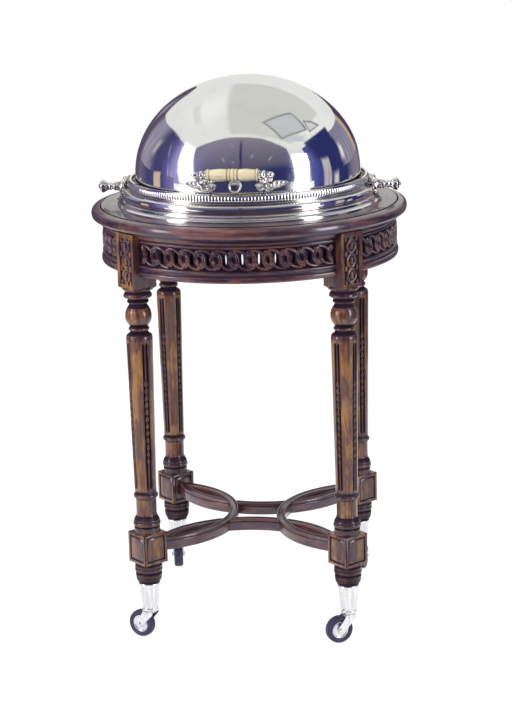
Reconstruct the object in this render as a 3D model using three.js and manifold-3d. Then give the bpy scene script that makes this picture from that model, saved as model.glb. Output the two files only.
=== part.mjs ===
// Round carving trolley on four castors, with a roll-top cover.
// Millimetres, +Z up. The origin is on the floor under the centre of the table.
// The front faces -Y, and the cover rolls about an axis along X.

import * as THREE from 'three';
import { mergeVertices } from 'three/addons/utils/BufferGeometryUtils.js';
import Module from 'manifold-3d';

const wasm = await Module();
wasm.setup();

// ---------------------------------------------------------------- driving dimensions

const GAP = 0.3;                 // between pieces that touch
const LEG_AT = 202;              // leg axes stand at (+-LEG_AT, +-LEG_AT)

// table top and frieze
const TOP_RADIUS = 320;
const TOP_FACE_Z = 869;
const TOP_UNDER_Z = 843;
const WELL_RADIUS = 240;
const SEAT_RADIUS = 272;         // shallow rebate that the collar is let into
const SEAT_Z = 868.4;
const FRIEZE_FOOT_Z = 759;
const FRIEZE_BACK_RADIUS = 277;
const FRIEZE_FIELD_RADIUS = 293.5;
const RINGS_ROUND = 56;          // rings of the pierced chain, blocks included
const SLOTS_PER_PANEL = 12;
const SLOT_WIDTH = 8.6;
const SLOT_HEIGHT = 25;
const SLOT_Z = 805.5;

// legs
const BLOCK_SIDE = 54;           // upper block, its face turned outward
const BLOCK_FOOT_Z = 735;
const CUBE_SIDE = 56.5;          // lower block
const CUBE_FOOT_Z = 165;
const CUBE_TOP_Z = 229;
const SHAFT_FOOT = { r: 21.8, z: 315 };
const SHAFT_TOP = { r: 26.3, z: 632 };
const FLUTES = 4;
const FLUTE_WIDTH = 14;
const FLUTE_DEPTH = 4;
const FLUTE_FOOT_Z = 322;
const FLUTE_TOP_Z = 626;
const FLUTE_TURN = 12;           // degrees off the block face, mirrored left and right
const REED_RADIUS = 4.6;
const LEG_FOOT_Z = 122;

// stretcher
const RAIL_WIDTH = 18;
const RAIL_HEIGHT = 25;
const RAIL_FOOT_Z = 183;
const RAIL_APEX = 50;            // rail centre line nearest to the middle of the trolley
const RAIL_END = 182;            // rail centre line at the inner face of a lower block

// castors: the angle turns the castor's local -X, in which the wheel trails
const WHEEL_RADIUS = 28;
const RIM_RADIUS = 17.6;
const TYRE_WIDTH = 20;
const TRAIL = 22;
const CUP_FOOT_Z = 62;
const AXLE_RADIUS = 3.4;
const CASTORS = {
  fl: { x: -LEG_AT, y: -LEG_AT, turn: -27 },
  fr: { x: LEG_AT, y: -LEG_AT, turn: 29 },
  bl: { x: -LEG_AT, y: LEG_AT, turn: -81 },
  br: { x: LEG_AT, y: LEG_AT, turn: -98 },
};

// roll-top
const PIVOT_Z = 899;
const PIN_RADIUS = 5;
const PIN_TIP_X = 308;
const COVER_RADIUS = 227.5;
const COVER_RISE = 192.5;        // ellipse height above the straight wall
const COVER_SHOULDER_Z = 929;
const COVER_FOOT_Z = 879;
const COVER_WALL = 2;
const GRIP = { y: -268, z: 963, half: 49 };
const POST_X = 58;
const BOSS_Z = 935;

// inside
const CRADLE = { inner: 190, outer: 210, foot: 884, top: 889 };
const PAN_RIM_RADIUS = 203;
const BOARD_RADIUS = 195;
const HOLDER_Z = 789;

// ---------------------------------------------------------------- materials

const MATERIALS = {
  wood: { color: 0x6b3f22, roughness: 0.42, metalness: 0 },
  board: { color: 0xb98a55, roughness: 0.6, metalness: 0 },
  silver: { color: 0xd9dbe0, roughness: 0.12, metalness: 1 },
  bone: { color: 0xe9dcb4, roughness: 0.35, metalness: 0 },
  rubber: { color: 0x23222c, roughness: 0.7, metalness: 0 },
  steel: { color: 0xb9bcc0, roughness: 0.35, metalness: 1 },
  brass: { color: 0xb08d4a, roughness: 0.3, metalness: 1 },
};

// ---------------------------------------------------------------- helpers

// Merges a geometry's corners by place, drops empty triangles and faces it outward.
function weld(geometry) {
  const bare = new THREE.BufferGeometry();
  bare.setAttribute('position', geometry.getAttribute('position').clone());
  if (geometry.index) bare.setIndex(geometry.index.clone());
  const merged = mergeVertices(bare, 1e-4);
  const from = merged.index.array;
  const kept = [];
  const [a, b, c] = [new THREE.Vector3(), new THREE.Vector3(), new THREE.Vector3()];
  let volume = 0;
  for (let i = 0; i < from.length; i += 3) {
    const [p, q, r] = [from[i], from[i + 1], from[i + 2]];
    if (p === q || q === r || r === p) continue;
    kept.push(p, q, r);
    a.fromBufferAttribute(merged.attributes.position, p);
    b.fromBufferAttribute(merged.attributes.position, q);
    c.fromBufferAttribute(merged.attributes.position, r);
    volume += a.dot(b.cross(c));
  }
  if (volume < 0) kept.reverse();
  merged.setIndex(kept);
  return merged;
}

// A closed geometry as a solid that can be joined and cut.
function solid(geometry) {
  const welded = weld(geometry);
  return new wasm.Manifold(new wasm.Mesh({
    numProp: 3,
    vertProperties: new Float32Array(welded.attributes.position.array),
    triVerts: new Uint32Array(welded.index.array),
  }));
}

function toGeometry(body) {
  const mesh = body.getMesh();
  const geometry = new THREE.BufferGeometry();
  geometry.setAttribute('position', new THREE.BufferAttribute(mesh.vertProperties, 3));
  geometry.setIndex(new THREE.BufferAttribute(mesh.triVerts, 1));
  return geometry;
}

const join = (...bodies) => bodies.reduce((sum, body) => sum.add(body));
const cut = (body, ...tools) => tools.reduce((rest, tool) => rest.subtract(tool), body);

// Revolves [radius, height] pairs about Z; the first facet edge points to -Y.
function revolve(profile, segments) {
  const points = profile.map(([r, z]) => new THREE.Vector2(r, z));
  return new THREE.LatheGeometry(points, segments).rotateX(Math.PI / 2);
}

// Revolves a ring profile, closing it on itself.
const ring = (profile, segments) => revolve([...profile, profile[0]], segments);

// A box given by its low and high corners.
function block(lo, hi) {
  const [w, d, h] = [0, 1, 2].map((i) => hi[i] - lo[i]);
  return new THREE.BoxGeometry(w, d, h)
    .translate((lo[0] + hi[0]) / 2, (lo[1] + hi[1]) / 2, (lo[2] + hi[2]) / 2);
}

// A cylinder between two points.
function rod(from, to, radius, segments = 12) {
  const start = new THREE.Vector3(...from);
  const along = new THREE.Vector3(...to).sub(start);
  const turn = new THREE.Quaternion()
    .setFromUnitVectors(new THREE.Vector3(0, 1, 0), along.clone().normalize());
  return new THREE.CylinderGeometry(radius, radius, along.length(), segments)
    .applyQuaternion(turn)
    .translate(...start.addScaledVector(along, 0.5).toArray());
}

// A flat outline of [x, z] pairs extruded along Y from -width/2 to +width/2.
function plate(outline, width) {
  const shape = new THREE.Shape(outline.map(([x, z]) => new THREE.Vector2(x, z)));
  return new THREE.ExtrudeGeometry(shape, { depth: width, bevelEnabled: false })
    .rotateX(Math.PI / 2)
    .translate(0, width / 2, 0);
}

function ellipsoid([rx, ry, rz], [x, y, z], around = 12, up = 8) {
  return new THREE.SphereGeometry(1, around, up).scale(rx, ry, rz).translate(x, y, z);
}

// A square post of the given side with its faces turned 45 degrees, so that one faces the corner.
function turnedPost(side, lowZ, highZ, x, y) {
  return new THREE.BoxGeometry(side, side, highZ - lowZ)
    .rotateZ(Math.PI / 4)
    .translate(x, y, (lowZ + highZ) / 2);
}

const radians = THREE.MathUtils.degToRad;
const group = new THREE.Group();

function add(parent, name, geometry, material, turnZ = 0) {
  const welded = weld(geometry);
  welded.computeVertexNormals();
  const mesh = new THREE.Mesh(welded, new THREE.MeshStandardMaterial(MATERIALS[material]));
  mesh.name = name;
  mesh.rotation.z = turnZ;
  parent.add(mesh);
}

// ---------------------------------------------------------------- table top

const TOP_PROFILE = [
  [WELL_RADIUS, TOP_UNDER_Z],
  [312, TOP_UNDER_Z],
  [319, 849],
  [TOP_RADIUS, 857],
  [316, 864.5],
  [299.5, TOP_FACE_Z],
  [SEAT_RADIUS, TOP_FACE_Z],
  [SEAT_RADIUS, SEAT_Z],
  [WELL_RADIUS, SEAT_Z],
];

// ---------------------------------------------------------------- frieze

const PANEL_PROFILE = [
  [FRIEZE_BACK_RADIUS, FRIEZE_FOOT_Z],
  [300, FRIEZE_FOOT_Z],
  [301.5, 769],
  [297.4, 775],
  [FRIEZE_FIELD_RADIUS, 785],
  [FRIEZE_FIELD_RADIUS, 826],
  [300, 830],
  [300, TOP_UNDER_Z - GAP],
  [FRIEZE_BACK_RADIUS, TOP_UNDER_Z - GAP],
];

// A pointed slot that runs through the panel, at an angle in degrees from -Y.
function slot(angle) {
  const [w, h] = [SLOT_WIDTH / 2, SLOT_HEIGHT / 2];
  const outline = [[0, -h], [w, -h * 0.55], [w, h * 0.55], [0, h], [-w, h * 0.55], [-w, -h * 0.55]];
  return plate(outline, 60)
    .translate(0, -(FRIEZE_BACK_RADIUS + FRIEZE_FIELD_RADIUS) / 2, SLOT_Z)
    .rotateZ(radians(angle));
}

// One panel, centred on -Y, between the two leg blocks that it butts against.
function friezePanel() {
  const reach = 400;
  const wedge = new THREE.Shape([
    new THREE.Vector2(0, 0),
    new THREE.Vector2(-reach, -reach),
    new THREE.Vector2(reach, -reach),
  ]);
  const sector = new THREE.ExtrudeGeometry(wedge, { depth: 200, bevelEnabled: false })
    .translate(0, 0, 700);
  const neighbours = [-1, 1].map((side) =>
    solid(turnedPost(BLOCK_SIDE + 2 * GAP, 700, 900, side * LEG_AT, -LEG_AT)));
  const pitch = 360 / RINGS_ROUND;
  const slots = [];
  for (let i = 0; i < SLOTS_PER_PANEL; i += 1) {
    slots.push(solid(slot((i - (SLOTS_PER_PANEL - 1) / 2) * pitch)));
  }
  const wall = solid(ring(PANEL_PROFILE, RINGS_ROUND)).intersect(solid(sector));
  return toGeometry(cut(wall, ...neighbours, ...slots));
}

// ---------------------------------------------------------------- legs

const LEG_PROFILE = [
  [0, LEG_FOOT_Z],
  [22, LEG_FOOT_Z],
  [26.4, 131],
  [26, 143],
  [28.2, 148],
  [26, 238],
  [27.8, 242],
  [27.2, 254],
  [20.6, 265],
  [20.6, 299],
  [24.6, 307],
  [SHAFT_FOOT.r, SHAFT_FOOT.z],
  [SHAFT_TOP.r, SHAFT_TOP.z],
  [17.2, 650],
  [26, 672],
  [26, 686],
  [18.6, 704],
  [28, 716],
  [25, 733],
  [0, 733],
];

// A leg on its own axis. Its upper block and lower block face the corner of the trolley,
// and the flutes are turned a little off those faces, one way on each side of the trolley.
function leg(hand) {
  const shaftRadius = (z) => THREE.MathUtils.mapLinear(
    z, SHAFT_FOOT.z, SHAFT_TOP.z, SHAFT_FOOT.r, SHAFT_TOP.r);
  const footRadius = shaftRadius(FLUTE_FOOT_Z);
  const topRadius = shaftRadius(FLUTE_TOP_Z);
  const channels = [];
  const reeds = [];
  for (let i = 0; i < FLUTES; i += 1) {
    const angle = radians(45 + hand * FLUTE_TURN + (i * 360) / FLUTES);
    const channel = plate([
      [footRadius - FLUTE_DEPTH, FLUTE_FOOT_Z],
      [footRadius + 5, FLUTE_FOOT_Z],
      [topRadius + 5, FLUTE_TOP_Z],
      [topRadius - FLUTE_DEPTH, FLUTE_TOP_Z],
    ], FLUTE_WIDTH).rotateZ(angle);
    const reed = rod(
      [footRadius - REED_RADIUS, 0, FLUTE_FOOT_Z - 1],
      [topRadius - REED_RADIUS, 0, FLUTE_TOP_Z + 1],
      REED_RADIUS, 6,
    ).rotateZ(angle);
    channels.push(solid(channel));
    reeds.push(solid(reed));
  }
  const fluted = cut(solid(revolve(LEG_PROFILE, 12)), ...channels);
  const upper = turnedPost(BLOCK_SIDE, BLOCK_FOOT_Z, TOP_UNDER_Z - GAP, 0, 0);
  const bevel = new THREE.CylinderGeometry(
    BLOCK_SIDE / Math.SQRT2, (BLOCK_SIDE - 8) / Math.SQRT2, 8, 4)
    .rotateX(Math.PI / 2)
    .translate(0, 0, BLOCK_FOOT_Z - 4);
  const cube = turnedPost(CUBE_SIDE, CUBE_FOOT_Z, CUBE_TOP_Z, 0, 0);
  return toGeometry(join(fluted, ...reeds, solid(upper), solid(bevel), solid(cube)));
}

// ---------------------------------------------------------------- stretcher rails

// Each rail is an arc between neighbouring legs that bows in towards the middle.
const RAIL_SAG = RAIL_END - RAIL_APEX;
const RAIL_ARC_RADIUS = (RAIL_END ** 2 + RAIL_SAG ** 2) / (2 * RAIL_SAG);
const RAIL_CENTRE_X = -(RAIL_APEX + RAIL_ARC_RADIUS);
const LAP_REACH = 120;           // the half laps lie within this distance of the middle

// The left rail before it is notched. With a margin it is a plain bar, grown all round, that
// makes room for the rail in its neighbours.
function leftRail(margin = 0) {
  const w = RAIL_WIDTH / 2 + margin;
  const low = RAIL_FOOT_Z - margin;
  const high = RAIL_FOOT_Z + RAIL_HEIGHT + margin;
  const moulded = [
    [-w, low], [w, low], [w, high - 5], [w - 3, high],
    [0, high - 2.5], [-w + 3, high], [-w, high - 5],
  ];
  const section = margin ? [[-w, low], [w, low], [w, high], [-w, high]] : moulded;
  const profile = section.map(([x, z]) => [RAIL_ARC_RADIUS + x, z]);
  const hoop = ring(profile, 28).translate(RAIL_CENTRE_X, 0, 0);
  const reach = RAIL_END + 8;
  return solid(hoop).intersect(solid(block([-reach, -reach, 150], [0, reach, 230])));
}

// Turns a finished rail body about the trolley's centre, by way of its geometry.
const turned = (body, degrees) => solid(toGeometry(body).rotateZ(radians(degrees)));

// The side rails pass over and the front and back rails pass under in half laps.
function rail(over) {
  const middle = RAIL_FOOT_Z + RAIL_HEIGHT / 2;
  const half = over
    ? block([-LAP_REACH, -LAP_REACH, 100], [LAP_REACH, LAP_REACH, middle + GAP / 2])
    : block([-LAP_REACH, -LAP_REACH, middle - GAP / 2], [LAP_REACH, LAP_REACH, 300]);
  const crossing = leftRail(GAP);
  let body = leftRail();
  for (const side of [90, -90]) {
    body = cut(body, turned(crossing, side).intersect(solid(half)));
  }
  for (const end of [-1, 1]) {
    // the mitre where this rail meets its neighbour in front of the lower block
    const mitre = block([-70, 0, 150], [70, 70, 230])
      .translate(0, -GAP / 2, 0)
      .rotateZ(radians(45))
      .translate(-RAIL_END + 10, -RAIL_END + 10, 0)
      .scale(1, -end, 1);
    const post = turnedPost(CUBE_SIDE + 2 * GAP, 150, 240, -LEG_AT, end * LEG_AT);
    body = cut(body, solid(mitre), solid(post));
  }
  return toGeometry(body);
}

// ---------------------------------------------------------------- castors

const CUP_PROFILE = [
  [0, CUP_FOOT_Z],
  [16.4, CUP_FOOT_Z],
  [20.8, LEG_FOOT_Z - 5],
  [21.8, LEG_FOOT_Z - GAP],
  [0, LEG_FOOT_Z - GAP],
];

// Crown, two cheeks and the axle, on the swivel axis, trailing towards -X.
function fork() {
  const top = CUP_FOOT_Z - 0.5;
  const inner = TYRE_WIDTH / 2 + 0.8;
  const outer = inner + 2.2;
  const cheek = [
    [13, top], [13, top - 8], [-TRAIL + 5, WHEEL_RADIUS - 6],
    [-TRAIL - 5, WHEEL_RADIUS - 6], [-TRAIL - 7, WHEEL_RADIUS + 2], [-13, top],
  ];
  const cheeks = [-1, 1].map((side) =>
    solid(plate(cheek, outer - inner).translate(0, (side * (inner + outer)) / 2, 0)));
  const crown = block([-13, -outer, top - 5], [13, outer, top]);
  const axle = rod(
    [-TRAIL, -outer - 1.2, WHEEL_RADIUS], [-TRAIL, outer + 1.2, WHEEL_RADIUS], AXLE_RADIUS, 6);
  return toGeometry(join(...cheeks, solid(crown), solid(axle)));
}

// Wheel parts are revolved about Y, round the axle.
const onAxle = (geometry) => geometry.rotateX(Math.PI / 2).translate(-TRAIL, 0, WHEEL_RADIUS);

const DISC_PROFILE = [
  [AXLE_RADIUS + 0.4, -9.6],
  [7.5, -9.6],
  [RIM_RADIUS, -5],
  [RIM_RADIUS, 5],
  [7.5, 9.6],
  [AXLE_RADIUS + 0.4, 9.6],
];

// The tyre's flats touch the floor, so its corners stand a little further out.
const TYRE_SEGMENTS = 16;
const TYRE_CORNER = WHEEL_RADIUS / Math.cos(Math.PI / TYRE_SEGMENTS);
const TYRE_PROFILE = [
  [RIM_RADIUS + 0.5, -TYRE_WIDTH / 2 + 1],
  [WHEEL_RADIUS - 3.6, -TYRE_WIDTH / 2],
  [TYRE_CORNER, -TYRE_WIDTH / 2 + 4.5],
  [TYRE_CORNER, TYRE_WIDTH / 2 - 4.5],
  [WHEEL_RADIUS - 3.6, TYRE_WIDTH / 2],
  [RIM_RADIUS + 0.5, TYRE_WIDTH / 2 - 1],
];

// ---------------------------------------------------------------- collar and pivots

const COLLAR_FOOT_RADIUS = 265;
const COLLAR_TOP_Z = 920.5;
const COLLAR_SKIN = [
  [COLLAR_FOOT_RADIUS, 872.5],
  [257.5, 881],
  [256, 889],
  [257.8, 893],
  [256.5, 900],
  [243.5, 904],
  [244.5, 912],
  [242, COLLAR_TOP_Z],
];
// The inner face leans back from its lip to its foot, clear of the edge of the well.
const COLLAR_PROFILE = [
  [243, SEAT_Z + GAP],
  [COLLAR_FOOT_RADIUS, SEAT_Z + GAP],
  ...COLLAR_SKIN,
  [236, COLLAR_TOP_Z],
  [236, 914],
];
const COLLAR_SEGMENTS = 32;

const pinHole = () => solid(rod([-300, 0, PIVOT_Z], [300, 0, PIVOT_Z], PIN_RADIUS + GAP, 12));

const collarBody = () => solid(ring(COLLAR_PROFILE, COLLAR_SEGMENTS));

// The collar's outer skin, moved out by a margin, as a body that reaches in to the well.
function collarSkin(margin) {
  const inside = WELL_RADIUS - 6;
  const skin = COLLAR_SKIN.map(([r, z]) => [r + margin, z + margin * 0.4]);
  return solid(ring([
    [inside, SEAT_Z + GAP],
    [COLLAR_FOOT_RADIUS + margin, SEAT_Z + GAP],
    ...skin,
    [inside, COLLAR_TOP_Z + margin * 0.4],
  ], COLLAR_SEGMENTS));
}

// A leaf that follows the collar's steps, with a round lug for the pin, on the +X side.
function pivotBracket() {
  const leaf = plate([[239.4, 868], [275, 868], [275, 896], [262, 916], [247, 924], [239.4, 924]], 34);
  const tongue = collarSkin(5).intersect(solid(leaf));
  const lug = rod([240, 0, PIVOT_Z], [268, 0, PIVOT_Z], 10.5, 10);
  const scrolls = [-1, 1].map((side) =>
    solid(ellipsoid([9, 6, 6], [255, side * 11, 908], 6, 4)));
  return toGeometry(cut(
    join(tongue, solid(lug), ...scrolls),
    collarSkin(GAP),
    pinHole(),
    solid(block([230, -40, 860], [SEAT_RADIUS, 40, SEAT_Z + GAP])),
  ));
}

// The pin and its tulip finial, revolved about X on the +X side.
const PIN_PROFILE = [
  [0, 207],
  [PIN_RADIUS, 207],
  [PIN_RADIUS, 268 + GAP],
  [9.2, 268 + GAP],
  [9.2, 274],
  [7, 280],
  [9.6, 288],
  [13.4, 296],
  [12.6, 302],
  [0, PIN_TIP_X],
];
const pivotPin = () => revolve(PIN_PROFILE, 10)
  .rotateY(Math.PI / 2)
  .translate(0, 0, PIVOT_Z);

// ---------------------------------------------------------------- cover

const COVER_SEGMENTS = 36;

// Points of the cover's section from the wall up to the crown.
function coverArc(radius, rise) {
  const angles = [0, 17, 35, 53, 71, 90].map(radians);
  return angles.map((a) => [
    a === Math.PI / 2 ? 0 : radius * Math.cos(a),
    COVER_SHOULDER_Z + rise * Math.sin(a),
  ]);
}

function coverShell(grow = 0) {
  const outer = coverArc(COVER_RADIUS + grow, COVER_RISE + grow);
  const inner = coverArc(COVER_RADIUS - COVER_WALL, COVER_RISE - COVER_WALL).reverse();
  return solid(revolve([
    ...outer.reverse(),
    [COVER_RADIUS + grow, COVER_FOOT_Z],
    [COVER_RADIUS - COVER_WALL, COVER_FOOT_Z],
    ...inner.reverse(),
  ], COVER_SEGMENTS));
}

// A filled copy of the cover, for seating the pieces that stand on it.
function coverForm(grow) {
  return solid(revolve([
    ...coverArc(COVER_RADIUS + grow, COVER_RISE + grow).reverse(),
    [COVER_RADIUS + grow, COVER_FOOT_Z],
    [0, COVER_FOOT_Z],
  ], COVER_SEGMENTS));
}

// ---------------------------------------------------------------- handle

const GRIP_PROFILE = [
  [0, -49], [11.6, -49], [11.6, -45], [10.6, -41], [12.2, -27],
  [11, -9], [12.2, -6], [12.2, 6], [11, 9],
  [12.2, 27], [10.6, 41], [11.6, 45], [11.6, 49], [0, 49],
];
const grip = () => revolve(GRIP_PROFILE, 10)
  .rotateY(Math.PI / 2)
  .translate(0, GRIP.y, GRIP.z);

// A post on the +X side: a ferrule and a ball at the grip's end, an arm back to the cover,
// and a leaf foot that spreads along the cover.
function handlePost() {
  const ferrule = rod([GRIP.half + GAP, GRIP.y, GRIP.z], [66, GRIP.y, GRIP.z], 8, 8);
  const ball = ellipsoid([7.5, 7.5, 7.5], [71.5, GRIP.y, GRIP.z], 8, 5);
  const arm = rod([POST_X, GRIP.y, GRIP.z], [POST_X, -216, 936], 5, 6);
  const foot = ellipsoid([12, 7, 10], [POST_X, -221, 938], 8, 4);
  const leaf = ellipsoid([19, 5, 5], [POST_X + 17, -213, 934], 6, 4);
  return toGeometry(cut(
    join(solid(ferrule), solid(ball), solid(arm), solid(foot), solid(leaf)),
    coverForm(GAP),
  ));
}

// A dished round boss on a short neck.
function coverBoss() {
  const profile = [
    [0, -12], [8, -12], [8, -5], [12.4, -1], [11, 2.6], [9.5, 2.6], [0, 0.8],
  ];
  const boss = revolve(profile, 12).rotateX(Math.PI / 2).translate(0, -235.5, BOSS_Z);
  return toGeometry(cut(solid(boss), coverForm(GAP)));
}

// ---------------------------------------------------------------- inside

function cradle() {
  const hoop = ring([
    [CRADLE.inner, CRADLE.foot], [CRADLE.outer, CRADLE.foot],
    [CRADLE.outer, CRADLE.top], [CRADLE.inner, CRADLE.top],
  ], 20);
  const lugs = [-1, 1].map((side) => solid(
    block([206, -9, CRADLE.foot], [220.5, 9, PIVOT_Z + 9]).scale(side, 1, 1)));
  return toGeometry(cut(join(solid(hoop), ...lugs), pinHole()));
}

const PAN_PROFILE = [
  [0, 832], [176, 832], [187.5, CRADLE.top + GAP],
  [PAN_RIM_RADIUS, CRADLE.top + GAP], [PAN_RIM_RADIUS, 891.8],
  [185, 891.8], [173.5, 835], [0, 835],
];

const BOARD_PROFILE = [
  [0, 892.1], [BOARD_RADIUS, 892.1], [BOARD_RADIUS, 907],
  [BOARD_RADIUS - 3, 910], [177, 910], [171, 906], [165, 910], [0, 910],
];

const HOLDER_RING = [
  [40.5, HOLDER_Z], [53, HOLDER_Z], [53, HOLDER_Z + 5], [40.5, HOLDER_Z + 5],
];

function burnerHolder() {
  const straps = [-1, 1].map((side) => solid(plate([
    [47, HOLDER_Z + 1], [204, 826], [204, CRADLE.foot - GAP],
    [194, CRADLE.foot - GAP], [194, CRADLE.foot - 3.5], [201, CRADLE.foot - 3.5],
    [201, 828.5], [47, HOLDER_Z + 4.5],
  ], 12).scale(side, 1, 1)));
  return toGeometry(join(solid(ring(HOLDER_RING, 16)), ...straps));
}

const BURNER_PROFILE = [
  [0, 770], [36, 770], [39, 774], [39, 794.3], [46, 794.3], [46, 797],
  [36, 801], [15, 807], [15, 818], [0, 818],
];

// ---------------------------------------------------------------- assembly

const QUARTERS = { front: 0, right: 90, back: 180, left: 270 };

add(group, 'table_top', ring(TOP_PROFILE, 40), 'wood');

const panel = friezePanel();
for (const [name, turn] of Object.entries(QUARTERS)) {
  add(group, `frieze_${name}`, panel, 'wood', radians(turn));
}

const legs = { '-1': leg(-1), 1: leg(1) };
for (const [name, castor] of Object.entries(CASTORS)) {
  const stand = new THREE.Group();
  stand.position.set(castor.x, castor.y, 0);
  group.add(stand);
  add(stand, `leg_${name}`, legs[-Math.sign(castor.x * castor.y)], 'wood');
  add(stand, `socket_${name}`, revolve(CUP_PROFILE, 12), 'silver');

  const swivel = new THREE.Group();
  swivel.rotation.z = radians(castor.turn);
  stand.add(swivel);
  add(swivel, `fork_${name}`, fork(), 'silver');
  add(swivel, `disc_${name}`, onAxle(ring(DISC_PROFILE, 10)), 'silver');
  const flat = Math.PI / TYRE_SEGMENTS;
  const tyre = ring(TYRE_PROFILE, TYRE_SEGMENTS).rotateZ(flat);
  add(swivel, `tyre_${name}`, onAxle(tyre), 'rubber');
}

const sideRail = rail(true);
const endRail = rail(false);
add(group, 'rail_left', sideRail, 'wood');
add(group, 'rail_right', sideRail, 'wood', Math.PI);
add(group, 'rail_front', endRail, 'wood', Math.PI / 2);
add(group, 'rail_back', endRail, 'wood', -Math.PI / 2);

add(group, 'collar', toGeometry(cut(collarBody(), pinHole())), 'silver');
const bracket = pivotBracket();
add(group, 'pivot_bracket_right', bracket, 'silver');
add(group, 'pivot_bracket_left', bracket, 'silver', Math.PI);
add(group, 'pivot_pin_right', pivotPin(), 'silver');
add(group, 'pivot_pin_left', pivotPin(), 'silver', Math.PI);

add(group, 'dome_cover', toGeometry(cut(coverShell(), pinHole())), 'silver');
add(group, 'handle_grip', grip(), 'bone');
const post = handlePost();
add(group, 'handle_post_right', post, 'silver');
add(group, 'handle_post_left', post.clone().scale(-1, 1, 1), 'silver');
add(group, 'cover_boss', coverBoss(), 'silver');

add(group, 'cradle', cradle(), 'steel');
add(group, 'hot_water_pan', revolve(PAN_PROFILE, 20), 'steel');
add(group, 'carving_board', revolve(BOARD_PROFILE, 20), 'board');
add(group, 'burner_holder', burnerHolder(), 'steel');
add(group, 'spirit_burner', revolve(BURNER_PROFILE, 12), 'brass');

export default group;
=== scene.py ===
"""The looks of a round carving trolley: a carved walnut stand, a silver roll-top and its castors.

Sizes are millimetres until a form becomes a mesh. The front faces -Y and +Z is up.
"""

import math

import bmesh
import bpy
import numpy as np
from mathutils import Matrix, Vector

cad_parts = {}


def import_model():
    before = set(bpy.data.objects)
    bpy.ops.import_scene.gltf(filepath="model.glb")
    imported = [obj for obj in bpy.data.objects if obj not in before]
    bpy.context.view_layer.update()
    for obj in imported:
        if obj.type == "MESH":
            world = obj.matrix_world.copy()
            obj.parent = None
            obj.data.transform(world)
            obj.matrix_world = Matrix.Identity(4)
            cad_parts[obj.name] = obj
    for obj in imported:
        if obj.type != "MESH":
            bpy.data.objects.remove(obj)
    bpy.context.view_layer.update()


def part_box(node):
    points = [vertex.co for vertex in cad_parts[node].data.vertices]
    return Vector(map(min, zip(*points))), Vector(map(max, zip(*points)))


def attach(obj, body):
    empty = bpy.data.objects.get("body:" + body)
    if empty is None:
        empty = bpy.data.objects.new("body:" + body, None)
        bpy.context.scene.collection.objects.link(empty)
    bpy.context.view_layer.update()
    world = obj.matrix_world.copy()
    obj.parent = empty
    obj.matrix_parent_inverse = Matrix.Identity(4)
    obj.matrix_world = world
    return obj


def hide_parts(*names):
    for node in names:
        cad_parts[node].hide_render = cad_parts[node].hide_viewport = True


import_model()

MM = 0.001
LOW, HIGH = 0, 1
X, Y, Z = 0, 1, 2


def edge(node, end, axis):
    """One side of a CAD node's box, in millimetres."""
    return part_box(node)[end][axis] / MM


def middle(node, axis):
    return (edge(node, LOW, axis) + edge(node, HIGH, axis)) / 2


# ---------- sizes, from the frame

TOP_RADIUS = edge("table_top", HIGH, X)
TOP_Z = edge("table_top", HIGH, Z)
UNDER_Z = edge("table_top", LOW, Z)
WELL_RADIUS = TOP_RADIUS - 80
FRIEZE_FOOT = edge("frieze_front", LOW, Z)
LEG_AT = middle("leg_fr", X)
LEG_FOOT = edge("leg_fr", LOW, Z)
RAIL_FOOT = edge("rail_left", LOW, Z)
RAIL_TOP = edge("rail_left", HIGH, Z)
PIVOT_Z = middle("pivot_pin_right", Z)
PIN_TIP = edge("pivot_pin_right", HIGH, X)
COVER_RADIUS = edge("dome_cover", HIGH, X)
COVER_TOP = edge("dome_cover", HIGH, Z)
COVER_FOOT = edge("dome_cover", LOW, Z)
COLLAR_TOP = edge("collar", HIGH, Z)
COLLAR_FOOT = edge("collar", LOW, Z)
COLLAR_RADIUS = edge("collar", HIGH, X)
GRIP_Y = middle("handle_grip", Y)
GRIP_Z = middle("handle_grip", Z)
GRIP_HALF = edge("handle_grip", HIGH, X)
BOSS_Z = middle("cover_boss", Z)
WHEEL_RADIUS = edge("tyre_fr", HIGH, Z) / 2
CUP_FOOT = edge("socket_fr", LOW, Z)

JOINT = 0.3                      # gap left between pieces that touch
CORNER_ROUND = 0.6               # radius of an outline's corner that gives none of its own
COVER_RISE = 192.5
COVER_SHOULDER = COVER_TOP - COVER_RISE
BLOCK_HALF = 27
BLOCK_FOOT = 735.0
CUBE_HALF = 28.25
PITCH = 2 * math.pi / 56         # one ring of the pierced chain
SLOTS = 12                       # slots in one panel
FRIEZE_RADIUS, FRIEZE_BACK = 301, 277
FIELD_RADIUS = 293.5             # the ground of the carving
FIELD_FOOT, FIELD_TOP = 783, 824
PANEL_DEPTH = FIELD_RADIUS - FRIEZE_BACK
CORNERS = {"fl": (-1, -1), "fr": (1, -1), "bl": (-1, 1), "br": (1, 1)}
QUARTERS = {"front": 0, "right": 90, "back": 180, "left": 270}
SQUARE = ((-1, -1), (1, -1), (1, 1), (-1, 1))

# ---------- forms


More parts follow.
